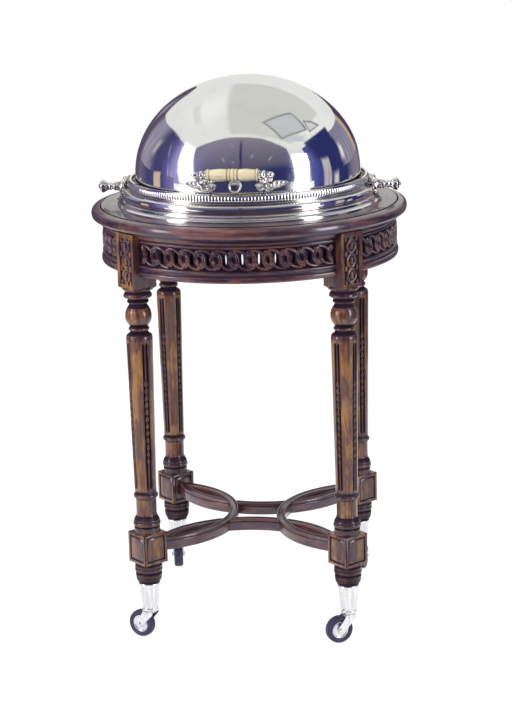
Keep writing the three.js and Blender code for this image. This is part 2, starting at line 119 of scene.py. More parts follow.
class Form:
    """A mesh in the making: points, faces, and a tone from 0 in a crevice to 1 on an edge; on wood it
    paints shade into crevices and wear and highlight onto edges.
    """

    def __init__(self):
        self.points = []
        self.tones = []
        self.faces = []
        self.count = 0

    def add(self, points, faces, tone):
        points = np.asarray(points, float).reshape(-1, 3)
        tones = np.broadcast_to(np.asarray(tone, float).reshape(-1), (len(points),))
        self.points.append(points)
        self.tones.append(np.clip(tones, 0, 1))
        self.faces += [[i + self.count for i in face] for face in faces]
        self.count += len(points)
        return self

    def grid(self, points, tone=1.0, wrap_rows=False, wrap_columns=False):
        """Quads over an array of (rows, columns, 3) points."""
        rows, columns = points.shape[:2]
        index = np.arange(rows * columns).reshape(rows, columns)
        if wrap_rows:
            index = np.vstack([index, index[:1]])
        if wrap_columns:
            index = np.hstack([index, index[:, :1]])
        quads = np.stack([index[:-1, :-1], index[:-1, 1:], index[1:, 1:], index[1:, :-1]], -1)
        tones = np.broadcast_to(np.asarray(tone, float), (rows, columns)).reshape(-1)
        return self.add(points.reshape(-1, 3), quads.reshape(-1, 4).tolist(), tones)

    def join(self, other, matrix=None):
        points = np.vstack(other.points)
        if matrix is not None:
            points = points @ np.array(matrix.to_3x3()).T + np.array(matrix.to_translation())
        return self.add(points, other.faces, np.concatenate(other.tones))

    def moved(self, matrix):
        return Form().join(self, matrix)

    def at(self, x, y, z):
        return self.moved(Matrix.Translation((x, y, z)))


def turn_z(degrees):
    return Matrix.Rotation(math.radians(degrees), 4, "Z")


def around(angle, radius, z):
    """Points on circles about Z, at angles from -Y towards +X."""
    return np.stack(np.broadcast_arrays(radius * np.sin(angle), -radius * np.cos(angle), z), -1)


def shifted(corners, up, out=0):
    """The corners of an outline moved up and outward; each keeps its own radius."""
    return [(r + out, z + up, *own) for r, z, *own in corners]


def mirrored(corners):
    """An outline's lower half, followed by the same turned over about z = 0."""
    return corners + [(r, -z, *own) for r, z, *own in reversed(corners)]


def rounded(corners, steps=3, closed=False):
    """Rounds the corners of a flat outline. A corner may carry its own radius as a third number."""
    count = len(corners)
    out = []
    for i, corner in enumerate(corners):
        point = np.array(corner[:2], float)
        if not closed and i in (0, count - 1):
            out.append(point)
            continue
        before = np.array(corners[i - 1][:2], float) - point
        after = np.array(corners[(i + 1) % count][:2], float) - point
        own = corner[2] if len(corner) > 2 else CORNER_ROUND
        start = point + before * min(own / np.linalg.norm(before), 0.49)
        end = point + after * min(own / np.linalg.norm(after), 0.49)
        for t in np.linspace(0, 1, steps + 1):
            out.append((1 - t) ** 2 * start + 2 * t * (1 - t) * point + t**2 * end)
    return np.array(out)


def hollow_tone(profile, reach=9.0, depth=5.0):
    """Tone along a turned profile: low where it lies below its neighbours; on wood that is painted shade.
    """
    radii, heights = profile[:, 0], profile[:, 1]
    near = np.abs(heights[:, None] - heights[None, :]) < reach
    below = np.where(near, radii[None, :], -1e9).max(1) - radii
    return 1 - np.clip(below / depth, 0, 1)


def lathe(profile, segments=96, closed=False, tone=None, angles=None, ripple=None):
    """Revolves (radius, z) pairs about Z. ripple(angle, z) adds to the radius."""
    profile = np.asarray(profile, float)
    if angles is None:
        angles = np.arange(segments) * 2 * math.pi / segments
    tones = hollow_tone(profile) if tone is None else np.broadcast_to(tone, (len(profile),))
    radius, heights = np.maximum(profile[:, :1], 0.05), profile[:, 1:]
    if ripple is not None:
        radius = radius + ripple(angles, heights)
    points = around(angles, radius, heights)
    form = Form().grid(points, tones[:, None], wrap_rows=closed, wrap_columns=True)
    if not closed:
        last = (len(profile) - 1) * len(angles)
        for row, start in ((0, 0), (-1, last)):
            if profile[row][0] < 0.5:
                form.faces.append(list(range(start, start + len(angles))))
    return form


def onto_x(form):
    """Lays a form that was revolved about Z along the X axis."""
    return form.moved(Matrix.Rotation(math.radians(90), 4, "Y"))


def onto_y(form):
    return form.moved(Matrix.Rotation(math.radians(90), 4, "X"))


def tube(path, radii, sides, squash=1.0, tone=1.0):
    """A round bar along a path of points, its ends closed to small caps."""
    path = np.asarray(path, float)
    radii = np.broadcast_to(radii, (len(path),))
    ahead = np.gradient(path, axis=0)
    ahead /= np.linalg.norm(ahead, axis=1)[:, None]
    side = np.cross(ahead[0], (0.0, 0.0, 1.0))
    if np.linalg.norm(side) < 0.1:
        side = np.cross(ahead[0], (0.0, 1.0, 0.0))
    rows = []
    angles = np.arange(sides) * 2 * math.pi / sides
    for point, along, r in zip(path, ahead, radii):
        side = side - along * side.dot(along)
        side /= np.linalg.norm(side)
        up = np.cross(side, along)
        rows.append(point + r * (np.cos(angles)[:, None] * side + squash * np.sin(angles)[:, None] * up))
    form = Form().grid(np.array(rows), tone, wrap_columns=True)
    last = (len(path) - 1) * sides
    form.faces += [list(range(sides)), list(range(last, last + sides))]
    return form


def bezier(*knots, steps=12):
    """A Bezier curve through its control points' hull, as an array of points."""
    knots = [np.array(k, float) for k in knots]
    rows = []
    for t in np.linspace(0, 1, steps + 1):
        level = knots
        while len(level) > 1:
            level = [(1 - t) * a + t * b for a, b in zip(level, level[1:])]
        rows.append(level[0])
    return np.array(rows)


def ball(centre, radius, stretch=(1, 1, 1), rings=12, sides=20, *, tone):
    turns = np.linspace(0.02, math.pi - 0.02, rings)
    profile = np.stack([np.sin(turns), -np.cos(turns)], -1) * radius
    profile[0, 0] = profile[-1, 0] = 0
    matrix = Matrix.Translation(centre) @ Matrix.Diagonal((*stretch, 1))
    return lathe(profile, sides, tone=tone).moved(matrix)


def slab(outline, low, high):
    """A flat (x, z) outline made solid between two values of y."""
    outline = np.asarray(outline, float)
    count = len(outline)
    layers = [np.stack([outline[:, 0], np.full(count, y), outline[:, 1]], -1) for y in (low, high)]
    form = Form().grid(np.array(layers), wrap_columns=True)
    form.faces += [list(range(count)), list(range(count, 2 * count))]
    return form


# ---------- materials


class Nodes:
    """Short calls for the nodes of a new material, or of a new world."""

    def __init__(self, name, group="materials"):
        self.owner = getattr(bpy.data, group).new(name)
        self.owner.use_nodes = True
        self.tree = self.owner.node_tree
        self.shader = next(node for node in self.tree.nodes if node.outputs)

    def make(self, kind, inputs=(), **values):
        """A node with its settings and what its sockets are fed, by socket name or number."""
        node = self.tree.nodes.new("ShaderNode" + kind)
        for key, value in values.items():
            setattr(node, key, value)
        for key, value in dict(inputs).items():
            self.feed(node.inputs[key], value)
        return node

    def feed(self, socket, value):
        """Gives a socket a number, a scale, a colour or another node's output."""
        if isinstance(value, (int, float)):
            socket.default_value = value
        elif isinstance(value, tuple):
            socket.default_value = (*value, 1)[:len(socket.default_value)]
        elif value is not None:
            self.tree.links.new(value, socket)

    def attribute(self, name, output="Fac"):
        return self.make("Attribute", attribute_name=name).outputs[output]

    def place(self, scale, source="grain"):
        """Coordinates stretched by a scale: along the grain first, then across it."""
        if source == "object":
            vector = self.make("TexCoord").outputs["Object"]
        else:
            vector = self.attribute(source, "Vector")
        return self.make("Mapping", {"Scale": scale, "Vector": vector}).outputs["Vector"]

    def noise(self, place, detail, roughness=0.55, distortion=0.0):
        return self.make("TexNoise", {
            "Vector": place, "Scale": 1.0, "Detail": detail, "Roughness": roughness,
            "Distortion": distortion}).outputs["Fac"]

    def ramp(self, source, *stops):
        """Colours at places along 0 to 1."""
        node = self.make("ValToRGB", {"Fac": source})
        elements = node.color_ramp.elements
        while len(elements) < len(stops):
            elements.new(0.5)
        for element, (at, colour) in zip(elements, stops):
            element.position = at
            element.color = (*colour, 1)
        return node.outputs["Color"]

    def spread(self, source, low, high, to_low=0.0, to_high=1.0):
        return self.make("MapRange", {
            "Value": source, "From Min": low, "From Max": high, "To Min": to_low, "To Max": to_high,
        }, interpolation_type="SMOOTHSTEP").outputs["Result"]

    def mix(self, fac, a, b):
        node = self.make("Mix", data_type="RGBA")
        for socket, value in zip([s for s in node.inputs if s.enabled], (fac, a, b)):
            self.feed(socket, value)
        return next(s for s in node.outputs if s.enabled)

    def maths(self, operation, a, b):
        return self.make("Math", {0: a, 1: b}, operation=operation).outputs[0]

    def bump(self, height, strength, distance, normal=None):
        return self.make("Bump", {"Strength": strength, "Distance": distance, "Height": height,
                                  "Normal": normal}).outputs["Normal"]

    def set(self, **values):
        """Feeds the shader's own sockets, named with _ for a space."""
        for key, value in values.items():
            self.feed(self.shader.inputs[key.replace("_", " ")], value)
        return self.owner


def walnut(name, light, mid, dark, wear_and_highlight=0.5, gloss=0.42, tint=(0.86, 0.78, 1.0)):
    """Waxed walnut: streaks along the grain, pores, patches of stain, painted shade in hollows and edges
    painted lighter as wear and highlight.
    """
    n = Nodes(name)
    streaks = n.noise(n.place((6, 85, 85)), detail=5, roughness=0.6, distortion=0.8)
    patches = n.noise(n.place((12, 34, 34)), detail=3, roughness=0.6)
    pores = n.noise(n.place((50, 1000, 1000)), detail=2, roughness=0.7)
    wood = n.ramp(streaks, (0.34, dark), (0.48, mid), (0.62, light), (0.74, mid))
    golden = n.mix(n.spread(patches, 0.34, 0.46, 0.8, 0), wood, light)
    stained = n.mix(n.spread(patches, 0.46, 0.60, 0, 0.9), golden, dark)
    pored = n.mix(n.spread(pores, 0.58, 0.70, 0, 0.7), stained, tuple(c * 0.3 for c in dark))
    # The tone attribute paints shade and light: low in crevices and grooves, high on edges and carved
    # crests.
    tone = n.attribute("tone")
    uneven = n.maths("ADD", tone, n.maths("MULTIPLY", n.maths("SUBTRACT", patches, 0.5), 0.6))
    # Painted shade: low tone turns the wood near-black violet in the hollows.
    hollow_shade = n.mix(n.spread(uneven, 0.02, 0.88), (0.020, 0.009, 0.024), pored)
    # Painted highlight and wear: edges and crests whose tone is above 0.96 go lighter.
    worn = n.mix(n.spread(uneven, 0.96, 1.22, 0, wear_and_highlight), hollow_shade, light)
    # Gloss and coat fade in the painted shade of the hollows too.
    clean = n.spread(uneven, 0.06, 0.46)
    rough = n.maths("ADD", n.spread(streaks, 0.3, 0.7, 0.26, 0.40), n.spread(clean, 0, 1, 0.3, 0))
    fine = n.bump(pores, 0.14, 0.0006)
    carved = n.bump(streaks, 0.14, 0.0012, fine)
    return n.set(Base_Color=worn, Roughness=rough, Normal=carved, Specular_Tint=tint,
                 Coat_Weight=n.spread(clean, 0, 1, 0.0, 0.7), Coat_Roughness=0.09,
                 Specular_IOR_Level=n.spread(clean, 0, 1, 0.15, gloss))


def silver_plate(name, dent, shine):
    """Mirror silver: soft dents, polish marks, and brown tarnish where cloths don't reach."""
    n = Nodes(name)
    swell = n.noise(n.place((7, 7, 7), "object"), detail=1, roughness=0.4)
    marks = n.noise(n.place((160, 160, 30), "object"), detail=3, roughness=0.6)
    haze = n.noise(n.place((22, 22, 22), "object"), detail=4, roughness=0.6)
    tone = n.attribute("tone")
    tarnish = n.spread(tone, 0.15, 0.85)
    clean = n.mix(n.spread(haze, 0.45, 0.75), shine, tuple(c * 0.94 for c in shine))
    colour = n.mix(tarnish, (0.17, 0.135, 0.115), clean)
    smudge = n.spread(haze, 0.35, 0.75, 0.035, 0.11)
    rough = n.maths("ADD", smudge, n.spread(tone, 0.2, 0.9, 0.25, 0.0))
    soft = n.bump(swell, dent, 0.004)
    fine = n.bump(marks, 0.05, 0.0003, soft)
    return n.set(Base_Color=colour, Metallic=1.0, Roughness=rough, Normal=fine)


def bone():
    """Turned bone: cream with faint lengthwise fibres, and browner where the tone is low, in the grooves.
    """
    n = Nodes("bone")
    fibres = n.noise(n.place((14, 260, 260)), detail=4, roughness=0.6)
    clouds = n.noise(n.place((30, 60, 60)), detail=2)
    cream = n.ramp(fibres, (0.32, (0.70, 0.55, 0.31)), (0.50, (0.83, 0.74, 0.50)),
                   (0.68, (0.90, 0.84, 0.66)))
    aged = n.mix(n.spread(clouds, 0.45, 0.7, 0, 0.4), cream, (0.72, 0.56, 0.30))
    colour = n.mix(n.spread(n.attribute("tone"), 0.1, 0.9), (0.42, 0.27, 0.12), aged)
    return n.set(Base_Color=colour, Roughness=n.spread(fibres, 0.3, 0.7, 0.22, 0.36),
                 Normal=n.bump(fibres, 0.12, 0.0005), Subsurface_Weight=0.12,
                 Subsurface_Scale=0.004, Coat_Weight=0.2, Coat_Roughness=0.12)


def tyre_rubber():
    n = Nodes("tyre_rubber")
    dust = n.noise(n.place((120, 120, 120), "object"), detail=5, roughness=0.65)
    grit = n.noise(n.place((900, 900, 900), "object"), detail=2)
    colour = n.ramp(dust, (0.35, (0.022, 0.019, 0.058)), (0.6, (0.048, 0.043, 0.110)),
                    (0.8, (0.11, 0.10, 0.20)))
    return n.set(Base_Color=colour, Roughness=n.spread(dust, 0.3, 0.7, 0.42, 0.6),
                 Normal=n.bump(grit, 0.15, 0.0004), Specular_IOR_Level=0.5)


def castor_plate():
    """Nickel plate dulled by use: upright bands, scuffs, and greyer where the tone is low, in the hollows
    and on bolts and rivets.
    """
    n = Nodes("castor_plate")
    bands = n.noise(n.place((3, 170, 170)), detail=3, roughness=0.6)
    scuffs = n.noise(n.place((60, 60, 60), "object"), detail=5, roughness=0.7)
    pale = n.ramp(bands, (0.36, (0.66, 0.665, 0.69)), (0.50, (0.76, 0.76, 0.78)),
                  (0.62, (0.84, 0.84, 0.85)))
    worn = n.mix(n.spread(scuffs, 0.50, 0.80, 0, 0.5), pale, (0.56, 0.57, 0.58))
    colour = n.mix(n.spread(n.attribute("tone"), 0.1, 0.8), (0.42, 0.42, 0.46), worn)
    return n.set(Base_Color=colour, Metallic=1.0, Roughness=n.spread(scuffs, 0.3, 0.7, 0.20, 0.34),
                 Normal=n.bump(bands, 0.10, 0.0005))


def satin_steel(name, tint):
    """Spun metal with fine turning marks and a little staining."""
    n = Nodes(name)
    lines = n.noise(n.place((40, 1400, 1400)), detail=2, roughness=0.7)
    stain = n.noise(n.place((18, 18, 18), "object"), detail=4)
    colour = n.mix(n.spread(stain, 0.45, 0.75, 0, 0.35), tint, tuple(c * 0.6 for c in tint))
    # Darker where the tone is low, in the hollows of a turned outline.
    dulled = n.mix(n.spread(n.attribute("tone"), 0.1, 0.8), tuple(c * 0.3 for c in tint), colour)
    return n.set(Base_Color=dulled, Metallic=1.0, Roughness=n.spread(lines, 0.3, 0.7, 0.22, 0.38),
                 Normal=n.bump(lines, 0.15, 0.0003))


WOOD = walnut("walnut_gold", (0.41, 0.197, 0.056), (0.200, 0.075, 0.031), (0.056, 0.019, 0.026))
DARK_WOOD = walnut("walnut_red", (0.215, 0.084, 0.050), (0.088, 0.033, 0.033),
                   (0.030, 0.012, 0.020), wear_and_highlight=0.8, gloss=0.72, tint=(0.80, 0.70, 1.0))
BOARD_WOOD = walnut("board_maple", (0.72, 0.52, 0.30), (0.62, 0.42, 0.22), (0.50, 0.31, 0.15), 0.2)
SILVER = silver_plate("silver_plate", 0.12, (0.89, 0.87, 0.84))
MIRROR = silver_plate("silver_mirror", 0.22, (0.93, 0.925, 0.915))
CASTOR = castor_plate()
BONE = bone()
RUBBER = tyre_rubber()
STEEL = satin_steel("satin_steel", (0.66, 0.67, 0.68))
BRASS = satin_steel("satin_brass", (0.72, 0.54, 0.26))

# ---------- grain directions


GRAIN_RADIUS = 290


def grain_up(p):
    return p[:, [2, 0, 1]]


def grain_along_x(p):
    return p


def grain_round(p):
    """Along a ring, in four boards with joints over the legs, each with grain of its own."""
    angle = np.arctan2(p[:, 1], p[:, 0])
    quarter = np.floor((angle + math.pi / 4) / (math.pi / 2))
    within = angle - quarter * math.pi / 2
    radius = np.hypot(p[:, 0], p[:, 1])
    along = within * GRAIN_RADIUS + quarter * 700
    return np.stack([along, radius + quarter * 90, p[:, 2]], -1)


def into_scene(name, data):
    made = bpy.data.objects.new(name, data)
    bpy.context.scene.collection.objects.link(made)
    return made


def mend(mesh):
    """Welds points that lie on each other and turns every face outward."""
    shape = bmesh.new()
    shape.from_mesh(mesh)
    bmesh.ops.remove_doubles(shape, verts=shape.verts, dist=2e-6)
    bmesh.ops.recalc_face_normals(shape, faces=shape.faces)
    shape.to_mesh(mesh)
    shape.free()


def piece(name, form, material, body, nodes, grain=grain_up, sharp=50):
    """Makes a form a Blender mesh, lets it ride on a body and hides the nodes it stands for."""
    mesh = bpy.data.meshes.new(name)
    points = np.vstack(form.points)
    mesh.from_pydata((points * MM).tolist(), [], form.faces)
    tone = mesh.attributes.new("tone", "FLOAT", "POINT")
    tone.data.foreach_set("value", np.concatenate(form.tones))
    fibre = mesh.attributes.new("grain", "FLOAT_VECTOR", "POINT")
    fibre.data.foreach_set("vector", (grain(points) * MM).reshape(-1))
    mend(mesh)
    mesh.shade_smooth()
    mesh.set_sharp_from_angle(angle=math.radians(sharp))
    mesh.materials.append(material)
    made = into_scene(name, mesh)
    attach(made, body)
    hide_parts(*nodes)
    return made


# ---------- table top


def table_top():
    r, top, foot = TOP_RADIUS, TOP_Z, UNDER_Z
    line_in, line_out = r - 20.5, r - 17.5
    profile = rounded([(WELL_RADIUS, foot)]
                      + shifted([(-9, 0), (-8.4, 2.6), (-2, 4, 4), (0, 14, 7)], foot, r)
                      + shifted([(-4, -3.6, 6), (-18, -1.0, 1.4), (-19.4, -2.6, 0.4), (-20.6, 0)],
                                top, r) + [(WELL_RADIUS, top)], closed=True, steps=5)
    # Painted shade: the cut line on the top and the underside by the frieze are dark; the flat top is set
    # darker than the rounded edge.
    tone = np.where(profile[:, 1] > top - 0.5, 0.55, 0.9)
    tone = np.where((profile[:, 0] > line_in) & (profile[:, 0] < line_out), 0.1, tone)
    tone = np.where(profile[:, 1] < foot + 3.4, 0.25, tone)
    form = lathe(profile, 224, closed=True, tone=tone)
    piece("table_top_board", form, DARK_WOOD, "stand", ["table_top"], grain=grain_round)


# ---------- frieze


def oval_ring(x, z):
    """Height of one oval ring of the chain, centred on the origin: three strands round an eye."""
    x = x + 0.12 * z
    outer = np.hypot(x / 12.4, z / 19.2)
    inner = np.hypot(x / 3.0, z / 6.6)
    inside = (outer < 1) & (inner > 1)
    t = np.where(inside, (inner - 1) / np.maximum(inner - 1 + (1 - outer) * 3.2, 1e-6), 0)
    crown = np.sqrt(np.clip(np.sin(math.pi * t), 0, 1))
    grooves = np.exp(-(((t - 0.36) / 0.07) ** 2)) + np.exp(-(((t - 0.68) / 0.07) ** 2))
    return np.where(inside, 5.4 * crown - 2.4 * grooves * crown, 0)


def strap(x, z, path, half, height):
    """Height of a rounded strap along a flat path."""
    gap = np.full(x.shape, 1e9)
    for a, b in zip(path, path[1:]):
        run = b - a
        t = np.clip(((x - a[0]) * run[0] + (z - a[1]) * run[1]) / run.dot(run), 0, 1)
        gap = np.minimum(gap, np.hypot(x - a[0] - t * run[0], z - a[1] - t * run[1]))
    body = np.sqrt(np.clip(1 - (gap / half) ** 2, 0, 1))
    return height * body - 0.9 * np.exp(-((gap / (half * 0.22)) ** 2)) * (body > 0)


HALF_CELL = FIELD_RADIUS * PITCH / 2
CELL_RISE = (FIELD_TOP - FIELD_FOOT) / 2
SLOT_HALF, SLOT_RISE = 3.5, 12.6
STRAP = bezier((-HALF_CELL - 4, 18.4), (-HALF_CELL + 8, 20), (-2, 17.5), (5, 13.5),
               (HALF_CELL - 9.5, 8.5), steps=9)


def chain_relief(x, z):
    """Relief of the pierced chain at a slot's cell: rings to both sides, straps above and below."""
    height = np.maximum(oval_ring(x - HALF_CELL, z), oval_ring(x + HALF_CELL, z))
    height = np.maximum(height, strap(x, z, STRAP, 3.0, 4.6))
    return np.maximum(height, strap(x, z, -STRAP, 3.0, 4.6))


def cell_outlines(columns=96):
    """The slot and the cell's rectangle round it, point for point."""
    turn = np.arange(columns) * 2 * math.pi / columns
    across, up = np.cos(turn), np.sin(turn)
    slot = np.stack([SLOT_HALF * np.sign(across) * np.abs(across) ** 0.8,
                     SLOT_RISE * up * (1 - 0.08 * across**2)], -1)
    reach = np.maximum(np.abs(across) / HALF_CELL, np.abs(up) / CELL_RISE)
    rim = np.stack([across / reach, up / reach], -1)
    corner = int(round(math.atan2(CELL_RISE, HALF_CELL) / (2 * math.pi) * columns))
    for k in (corner, columns // 2 - corner, columns // 2 + corner, columns - corner):
        rim[k] = np.sign(rim[k]) * (HALF_CELL, CELL_RISE)
    return slot, rim


def slot_cell():
    """One slot of the chain with the carving round it, flat: x along the ring, y outward, z up."""
    slot, rim = cell_outlines()
    steps = np.linspace(0, 1, 20)[:, None, None]
    flat = slot[None] * (1 - steps) + rim[None] * steps
    height = chain_relief(flat[..., 0], flat[..., 1])
    front = np.stack([flat[..., 0], height, flat[..., 1]], -1)
    # Painted shade: the carving's ground is dark and its rings lighten with their height.
    cell = Form().grid(front, 0.02 + 0.2 * height, wrap_columns=True)
    narrow, slot_edge = slot * (0.55, 0.92), height[0]
    wall = [np.stack([outline[:, 0], slot_edge * (1 - t) - PANEL_DEPTH * t, outline[:, 1]], -1)
            for t, outline in ((0, slot), (0.5, narrow), (1, narrow))]
    # The slot's walls and the back behind the carving take painted shade too.
    cell.grid(np.array(wall), 0.12, wrap_columns=True)
    back = np.stack([np.insert(outline, 1, -PANEL_DEPTH, axis=1) for outline in (narrow, rim)])
    return cell.grid(back, 0.3, wrap_columns=True)


def bend(form, radius, at):
    """Wraps a flat form (x along, y outward, z up) round the trolley, centred on an angle from -Y."""
    p = np.vstack(form.points)
    points = around(p[:, 0] / radius + at, radius + p[:, 1], p[:, 2])
    return Form().add(points, form.faces, np.concatenate(form.tones))


def frieze_profiles():
    """The mouldings under and over the carving."""
    base = shifted([(FRIEZE_BACK, 0), (300.4, 0, 1), (301.5, 3, 1.5), (301.5, 9, 2),
                    (297.6, 11.6, 1), (297, 16, 2.4), (299.4, 18, 1.2), (299.4, 21.6, 1.4)],
                   FRIEZE_FOOT)
    base += shifted([(FIELD_RADIUS, -0.6), (FIELD_RADIUS, 0.2)], FIELD_FOOT)
    crown = shifted([(FIELD_RADIUS, -0.2), (FIELD_RADIUS, 0.8), (297.2, 1.6, 1), (297.2, 5.4, 1),
                     (295.8, 6.4, 0.5), (298.2, 9, 1.2), (300.6, 11, 1)], FIELD_TOP)
    crown += [(300.6, UNDER_Z - JOINT), (FRIEZE_BACK, UNDER_Z - JOINT)]
    return rounded(base, steps=4), rounded(crown, steps=4)


def frieze_panel():
    half = math.radians(45) - math.asin(BLOCK_HALF / FRIEZE_RADIUS)
    angles = np.linspace(-half, half, 61)
    panel = Form()
    for profile in frieze_profiles():
        # Painted shade in the hollows of the mouldings.
        shown = lathe(profile, angles=angles, tone=hollow_tone(profile, 6, 4) * 0.75 + 0.2)
        shown.faces = [f for f in shown.faces if abs(f[0] - f[1]) < 2]
        panel.join(shown)
    cell = slot_cell().at(0, 0, (FIELD_FOOT + FIELD_TOP) / 2)
    for i in range(SLOTS):
        panel.join(bend(cell, FIELD_RADIUS, (i - (SLOTS - 1) / 2) * PITCH))
    ends = SLOTS / 2 * PITCH, half
    # The panel's ends and back are in painted shade.
    for at, radius, low, high, tone in (
            (np.negative(ends), FIELD_RADIUS, FIELD_FOOT, FIELD_TOP, 0.2),
            (ends, FIELD_RADIUS, FIELD_FOOT, FIELD_TOP, 0.2),
            (angles, FRIEZE_BACK, FRIEZE_FOOT, FIELD_FOOT, 0.3),
            (angles, FRIEZE_BACK, FIELD_TOP, UNDER_Z - JOINT, 0.3)):
        panel.grid(around(at, radius, np.array([[low], [high]])), tone)
    return panel


def friezes():
    panel = frieze_panel()
    for name, degrees in QUARTERS.items():
        piece(f"frieze_carved_{name}", panel.moved(turn_z(degrees)), DARK_WOOD, "stand",
              [f"frieze_{name}"], grain=grain_round)


# ---------- legs

SHAFT_FOOT_Z, SHAFT_TOP_Z = 316, 632
FLUTE_FOOT_Z, FLUTE_TOP_Z = 321, 625
HUSK_FOOT_Z, HUSK_TOP_Z = 374, 548
HUSK_PITCH = 14.5
FLUTE_HALF = 6.6
FLUTE_EDGE = 7.4                 # where a flute's closely spaced columns end
FLUTE_DEPTH = 4.4
FLUTE_TURN = 12                  # degrees the flutes are turned off the block's faces


def shaft_radius(z):
    return np.interp(z, (SHAFT_FOOT_Z, SHAFT_TOP_Z), (21.8, 26.3))


def flute_relief(s, z):
    """Height below the shaft's face across one flute: the channel, its reed and its husks."""
    wall = np.clip((FLUTE_HALF - np.abs(s)) / 1.1, 0, 1)
    ends = np.clip(np.minimum(z - FLUTE_FOOT_Z, FLUTE_TOP_Z - z) / 5, 0, 1)
    floor = -FLUTE_DEPTH * wall * ends
    reed = 3.4 * np.sqrt(np.clip(1 - (s / 2.5) ** 2, 0, 1)) * ends
    husked = (z > HUSK_FOOT_Z) & (z < HUSK_TOP_Z)
    taper = np.interp(z, (HUSK_FOOT_Z, HUSK_TOP_Z), (0.66, 1.0))
    t = np.mod(HUSK_TOP_Z - z, HUSK_PITCH) / HUSK_PITCH
    half = (2.0 + 4.0 * np.sin(math.pi * t**1.3)) * taper
    husk = 5.0 * np.sqrt(np.clip(1 - (s / half) ** 2, 0, 1)) * (0.55 + 0.45 * np.sin(math.pi * t))
    husk = husk - 1.5 * np.exp(-((s / 0.7) ** 2)) * (t > 0.35)
    return floor + np.where(husked, np.maximum(husk, 0), reed)


def shaft(hand):
    """The tapered shaft with four flutes, turned a little off the block's faces."""
    side = np.array([0.8, 1.5, 2.2, 2.6, 3.5, 4.3, 5.0, 5.6, 6.2, 6.7, FLUTE_EDGE])
    s = np.concatenate([-side[::-1], [0], side])
    husk_rows = np.arange(HUSK_FOOT_Z, HUSK_TOP_Z + 1, HUSK_PITCH / 8)
    z = np.unique(np.concatenate([
        np.linspace(SHAFT_FOOT_Z, FLUTE_FOOT_Z + 6, 10), np.linspace(330, 372, 5), husk_rows,
        np.linspace(552, FLUTE_TOP_Z - 6, 8), np.linspace(FLUTE_TOP_Z - 5, SHAFT_TOP_Z, 12)]))
    heights = z[:, None]
    radius = shaft_radius(heights)
    quarter, gap = math.radians(90), FLUTE_EDGE / radius
    plain = gap + (quarter - 2 * gap) * np.linspace(0, 1, 8)[1:-1]
    first = math.radians(hand * FLUTE_TURN + 45) + np.hstack([s / radius, plain])
    relief = np.hstack([flute_relief(s, heights), np.zeros(plain.shape)])
    fluted = np.append(np.abs(s) < FLUTE_HALF, [False] * plain.shape[1])
    within = fluted & (heights > FLUTE_FOOT_Z) & (heights < FLUTE_TOP_Z)
    # Painted shade: dark in the flutes, deepest in their channels, and at both ends of the shaft where
    # the turnings meet it.
    deep = np.clip(1 + relief / 3.4, 0, 1)
    tone = np.where(within, 0.12 + 0.36 * deep, deep) * np.interp(
        heights, (SHAFT_FOOT_Z, SHAFT_FOOT_Z + 5, SHAFT_TOP_Z - 5, SHAFT_TOP_Z), (0.3, 1, 1, 0.3))
    angles = np.hstack([first + quarter * i for i in range(4)])
    points = around(angles, radius + np.tile(relief, 4), heights)
    return Form().grid(points, np.tile(tone, 4), wrap_columns=True)


CUBE_FOOT, CUBE_TOP = LEG_FOOT + 43, LEG_FOOT + 107
LOWER_TURNING = shifted([
    (0, 0), (20.6, 0), (22, 0.8, 0.8), (25.6, 7.6, 3), (26.2, 10.4, 1), (25.2, 11.2, 0.4),
    (25.2, 12, 0.4), (26.6, 13, 1.6), (26.8, 19.4, 1.6), (24.2, 21.2), (24.2, 22.6),
    (27.9, 24.6, 1.6), (28, 30.4, 1.6), (26.8, 31.6, 0.4), (26.8, 32.6, 0.4), (27.8, 33.6, 1),
    (27.8, 37.2, 1), (25.6, 38.4), (25.6, 48),
], LEG_FOOT)
MIDDLE_TURNING = [
    (26, 222), (26, 240.2, 0.6), (23.6, 241.2, 0.4), (23.6, 242.8, 0.4), (27.6, 244.4, 2.2),
    (27.6, 250.6, 2.2), (25.4, 252.4, 0.6), (25.4, 253.4, 0.4), (26.4, 254.8, 1.6), (21.6, 263, 5),
    (20.6, 270, 4), (20.6, 297, 3), (21.2, 301.6, 0.8), (24.6, 303.4, 1.6), (24.6, 308.6, 1.6),
    (21.4, 311, 0.6), (21.2, 313, 0.6), (21.8, 316),
]
UPPER_TURNING = [
    (26.3, 632), (25.4, 637, 1.6), (20.4, 640.6, 2), (17.6, 643, 0.6), (17, 645, 0.6),
    (20.6, 647.6, 1.8), (20.6, 651.6, 1.8), (17, 654.4, 0.8), (18.4, 657, 1), (25, 664, 6),
    (26.8, 679, 9), (23.4, 690, 5), (18.4, 697, 2.6), (17.6, 700.6, 0.8), (21.4, 703, 1.6),
    (21.4, 706.6, 1.6), (18.6, 709.4, 0.8), (19.4, 711, 0.6), (28.2, 713.8, 2.4),
    (28.4, 719.4, 2.6), (24.8, 723, 1), (24.8, 725.6, 1), (29, 729, 1.6), (29, 734),
]


